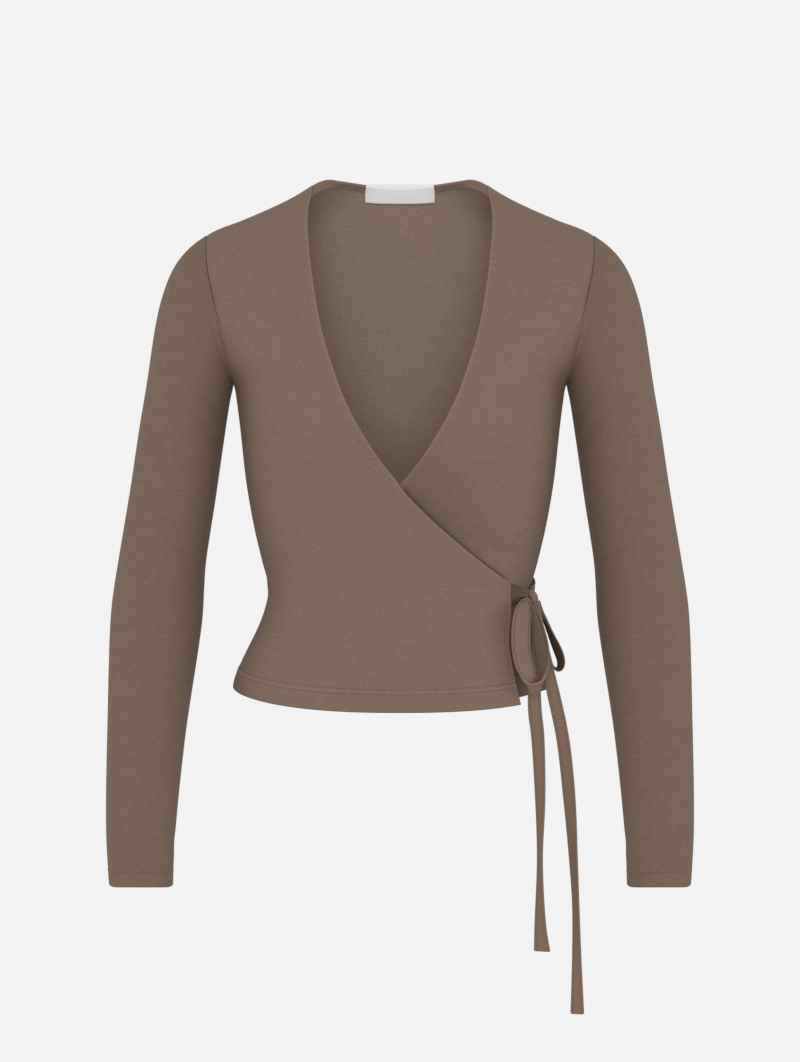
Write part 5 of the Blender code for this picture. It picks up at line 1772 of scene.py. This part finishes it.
def make_knot():
    """A leaning core with the strand that wraps it, creased along its length."""
    turn = 2 * np.pi * np.arange(KNOT_SIDES) / KNOT_SIDES
    places = np.arange(len(KNOT_WRAP["x"]), dtype=float)
    at = np.linspace(0, places[-1], KNOT_ROWS)
    sizes = {name: smooth(places, values, at) for name, values in KNOT_WRAP.items()}
    line = np.stack([sizes["x"], sizes["y"], sizes["z"]], -1)
    even_out(line, KNOT_ROUNDS)
    forward = unit(np.gradient(line, axis=0))
    out = line - np.array(KNOT_CENTRE)
    out = unit(out - forward * np.sum(out * forward, -1, keepdims=True))
    side = np.cross(forward, out)
    height, count, start = WRAP_CREASE
    crease = 1 + height * np.cos(count * turn - start) * np.maximum(0, np.sin(turn))
    flat = np.sign(np.cos(turn)) * np.abs(np.cos(turn)) ** WRAP_FLATNESS
    rings = (
        line[:, None]
        + side[:, None] * flat[None, :, None] * sizes["width"][:, None, None]
        + out[:, None] * (np.sin(turn) * crease)[None, :, None] * sizes["thick"][:, None, None]
    )
    tube("tie_knot_wrap", rings, WRAP_GIRTH)

    height, count, start = CORE_RIDGE
    lat = np.linspace(POLE, np.pi - POLE, KNOT_ROWS)
    ridge = 1 + height * np.sin(count * turn + start)[None]
    ball = np.stack([
        np.sin(lat)[:, None] * np.cos(turn)[None] * ridge,
        np.sin(lat)[:, None] * np.sin(turn)[None] * ridge,
        np.broadcast_to(np.cos(lat)[:, None], (KNOT_ROWS, KNOT_SIDES)),
    ], -1) * np.array(KNOT_RADII)
    lean = math.radians(KNOT_LEAN)
    x = ball[..., 0] * math.cos(lean) - ball[..., 2] * math.sin(lean)
    z = ball[..., 0] * math.sin(lean) + ball[..., 2] * math.cos(lean)
    return tube("tie_knot_core", np.stack([x, ball[..., 1], z], -1) + np.array(KNOT_CENTRE), CORE_GIRTH)


TIES = {
    "tie_outer": tie_outer(),
    "tie_under": tie_under(),
    "bow_loop_front": bow_loop("bow_loop_front", LOOP_FRONT, FRONT_LOOP_HALF, NO_CUP, front_loop_shade),
    "bow_loop_side": bow_loop("bow_loop_side", LOOP_SIDE, TIE_HALF, SIDE_LOOP_CUP, side_loop_shade),
    "tie_tail_short": tie_tail("tie_tail_short", TAIL_SHORT),
    "tie_tail_long": tie_tail("tie_tail_long", TAIL_LONG),
}
for name, piece in TIES.items():
    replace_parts(piece, name)
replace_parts(make_knot(), "tie_knot")


# -------- how each cloth was cut

FRONTS = ("outer_front_cloth", "under_front_cloth")
KNOT = ("tie_knot_core",)
SHEETS = {  # flat width and length, flat area, what it is joined to, and what is sewn on it
    "outer_front_cloth": (
        0.322, 0.500, 0.0877,
        ("under_front_cloth", "back_cloth"), ("hem_stitches", "hem_bars", "end_edge_stitches"),
    ),
    "under_front_cloth": (0.301, 0.495, 0.0851, ("back_cloth",), ()),
    "back_cloth": (0.422, 0.525, 0.1750, FRONTS, ()),
    "sleeve_right_cloth": (
        0.380, 0.603, 0.1312, ("outer_front_cloth", "back_cloth"), ("cuff_stitches", "cuff_bars")
    ),
    "sleeve_left_cloth": (0.380, 0.603, 0.1312, ("under_front_cloth", "back_cloth"), ()),
    "back_neck_band_cloth": (0.222, 0.010, 0.0019, ("back_cloth",), ("neck_band_stitches",)),
    "neck_label_tape": (0.064, 0.0190, None, ("back_neck_band_cloth",), ()),
    "tie_outer_cloth": (0.0194, 0.024, 0.00036, ("outer_front_cloth", *KNOT), ()),
    "tie_under_cloth": (
        0.0159, 0.4134, None, ("under_front_cloth", *KNOT), ("tie_knot_core", "tie_knot_wrap")
    ),
    "bow_loop_front_cloth": (0.0185, 0.1895, 0.0034, KNOT, ()),
    "bow_loop_side_cloth": (0.0155, 0.1260, 0.0019, KNOT, ()),
    "tie_tail_short_cloth": (0.0147, 0.3114, 0.0041, KNOT, ()),
    "tie_tail_long_cloth": (0.0142, 0.3680, 0.0048, KNOT, ()),
}
for name, (width, length, area, joined, sewn_on) in SHEETS.items():
    sewn_on = [bpy.data.objects[piece] for piece in sewn_on]


# -------- studio

CAMERA_DISTANCE = 3.5
CAMERA_HEIGHT = -0.3168
VIEW_HEIGHT = 0.9558  # of the frame at the garment's middle plane
SENSOR = 36.0
FURTHEST_SEEN = 100
BACKDROP = 0.887
FLOOR_HEIGHT = -1.4
FLOOR_RADIUS = 20
FLOOR_SIDES = 96
ROOM_RADIUS = 25
LIT_PLACE = (0, 0, -0.3)  # what every lamp is turned to
WORLD_LIGHT = 0.55
LAMPS = (  # name, place, width across and power
    ("high_front", (-0.1, -2.8, 1.4), 1.6, 14),
    ("front", (0.0, -3.3, -0.5), 1.4, 33),
    ("side_right", (-3.2, 0.0, 0.2), 1.6, 20),
    ("side_left", (3.2, 0.0, 0.2), 1.6, 23),
    ("back", (0.0, 3.2, 0.1), 2.0, 32),
)


def backdrop_material():
    """A plain pale white that no lamp changes."""
    made = bpy.data.materials.new("backdrop")
    made.use_nodes = True
    shader = made.node_tree.nodes["Principled BSDF"]
    shader.inputs["Base Color"].default_value = (0, 0, 0, 1)
    shader.inputs["Specular IOR Level"].default_value = 0
    shader.inputs["Roughness"].default_value = 1
    shader.inputs["Emission Color"].default_value = (BACKDROP, BACKDROP, BACKDROP, 1)
    shader.inputs["Emission Strength"].default_value = 1
    return made


def only_seen(thing):
    """Keeps a backdrop out of the light that falls on the garment."""
    thing.visible_diffuse = False
    thing.visible_glossy = False
    thing.visible_transmission = False
    thing.visible_volume_scatter = False
    thing.visible_shadow = False


def make_studio():
    """The camera level with the garment's middle, the pale floor and backdrop, and the lamps."""
    camera = bpy.data.cameras.new("camera")
    camera.sensor_fit = "VERTICAL"
    camera.sensor_height = SENSOR
    camera.lens = SENSOR * CAMERA_DISTANCE / VIEW_HEIGHT
    camera.clip_end = FURTHEST_SEEN
    seen = bpy.data.objects.new("camera", camera)
    seen.location = (0, -CAMERA_DISTANCE, CAMERA_HEIGHT)
    seen.rotation_euler = (math.pi / 2, 0, 0)
    bpy.context.scene.collection.objects.link(seen)
    bpy.context.scene.camera = seen

    world = bpy.data.worlds.new("studio")
    world.use_nodes = True
    sky = world.node_tree.nodes["Background"]
    sky.inputs["Color"].default_value = (1, 1, 1, 1)
    sky.inputs["Strength"].default_value = WORLD_LIGHT
    bpy.context.scene.world = world

    pale = backdrop_material()
    bpy.ops.mesh.primitive_circle_add(vertices=FLOOR_SIDES, radius=FLOOR_RADIUS, fill_type="NGON")
    bpy.context.object.location = (0, 0, FLOOR_HEIGHT)
    bpy.context.object.name = "floor"
    bpy.ops.mesh.primitive_uv_sphere_add(segments=64, ring_count=32, radius=ROOM_RADIUS)
    bpy.context.object.name = "backdrop"
    for name in ("floor", "backdrop"):
        bpy.data.objects[name].data.materials.append(pale)
        only_seen(bpy.data.objects[name])

    for name, place, size, power in LAMPS:
        light = bpy.data.lights.new(name, "AREA")
        light.shape = "DISK"
        light.size = size
        light.energy = power
        lamp = bpy.data.objects.new(name, light)
        lamp.location = place
        lamp.visible_camera = False
        lamp.rotation_euler = (Vector(LIT_PLACE) - Vector(place)).to_track_quat("-Z", "Y").to_euler()
        bpy.context.scene.collection.objects.link(lamp)
    bpy.context.scene.view_settings.view_transform = "Standard"


make_studio()
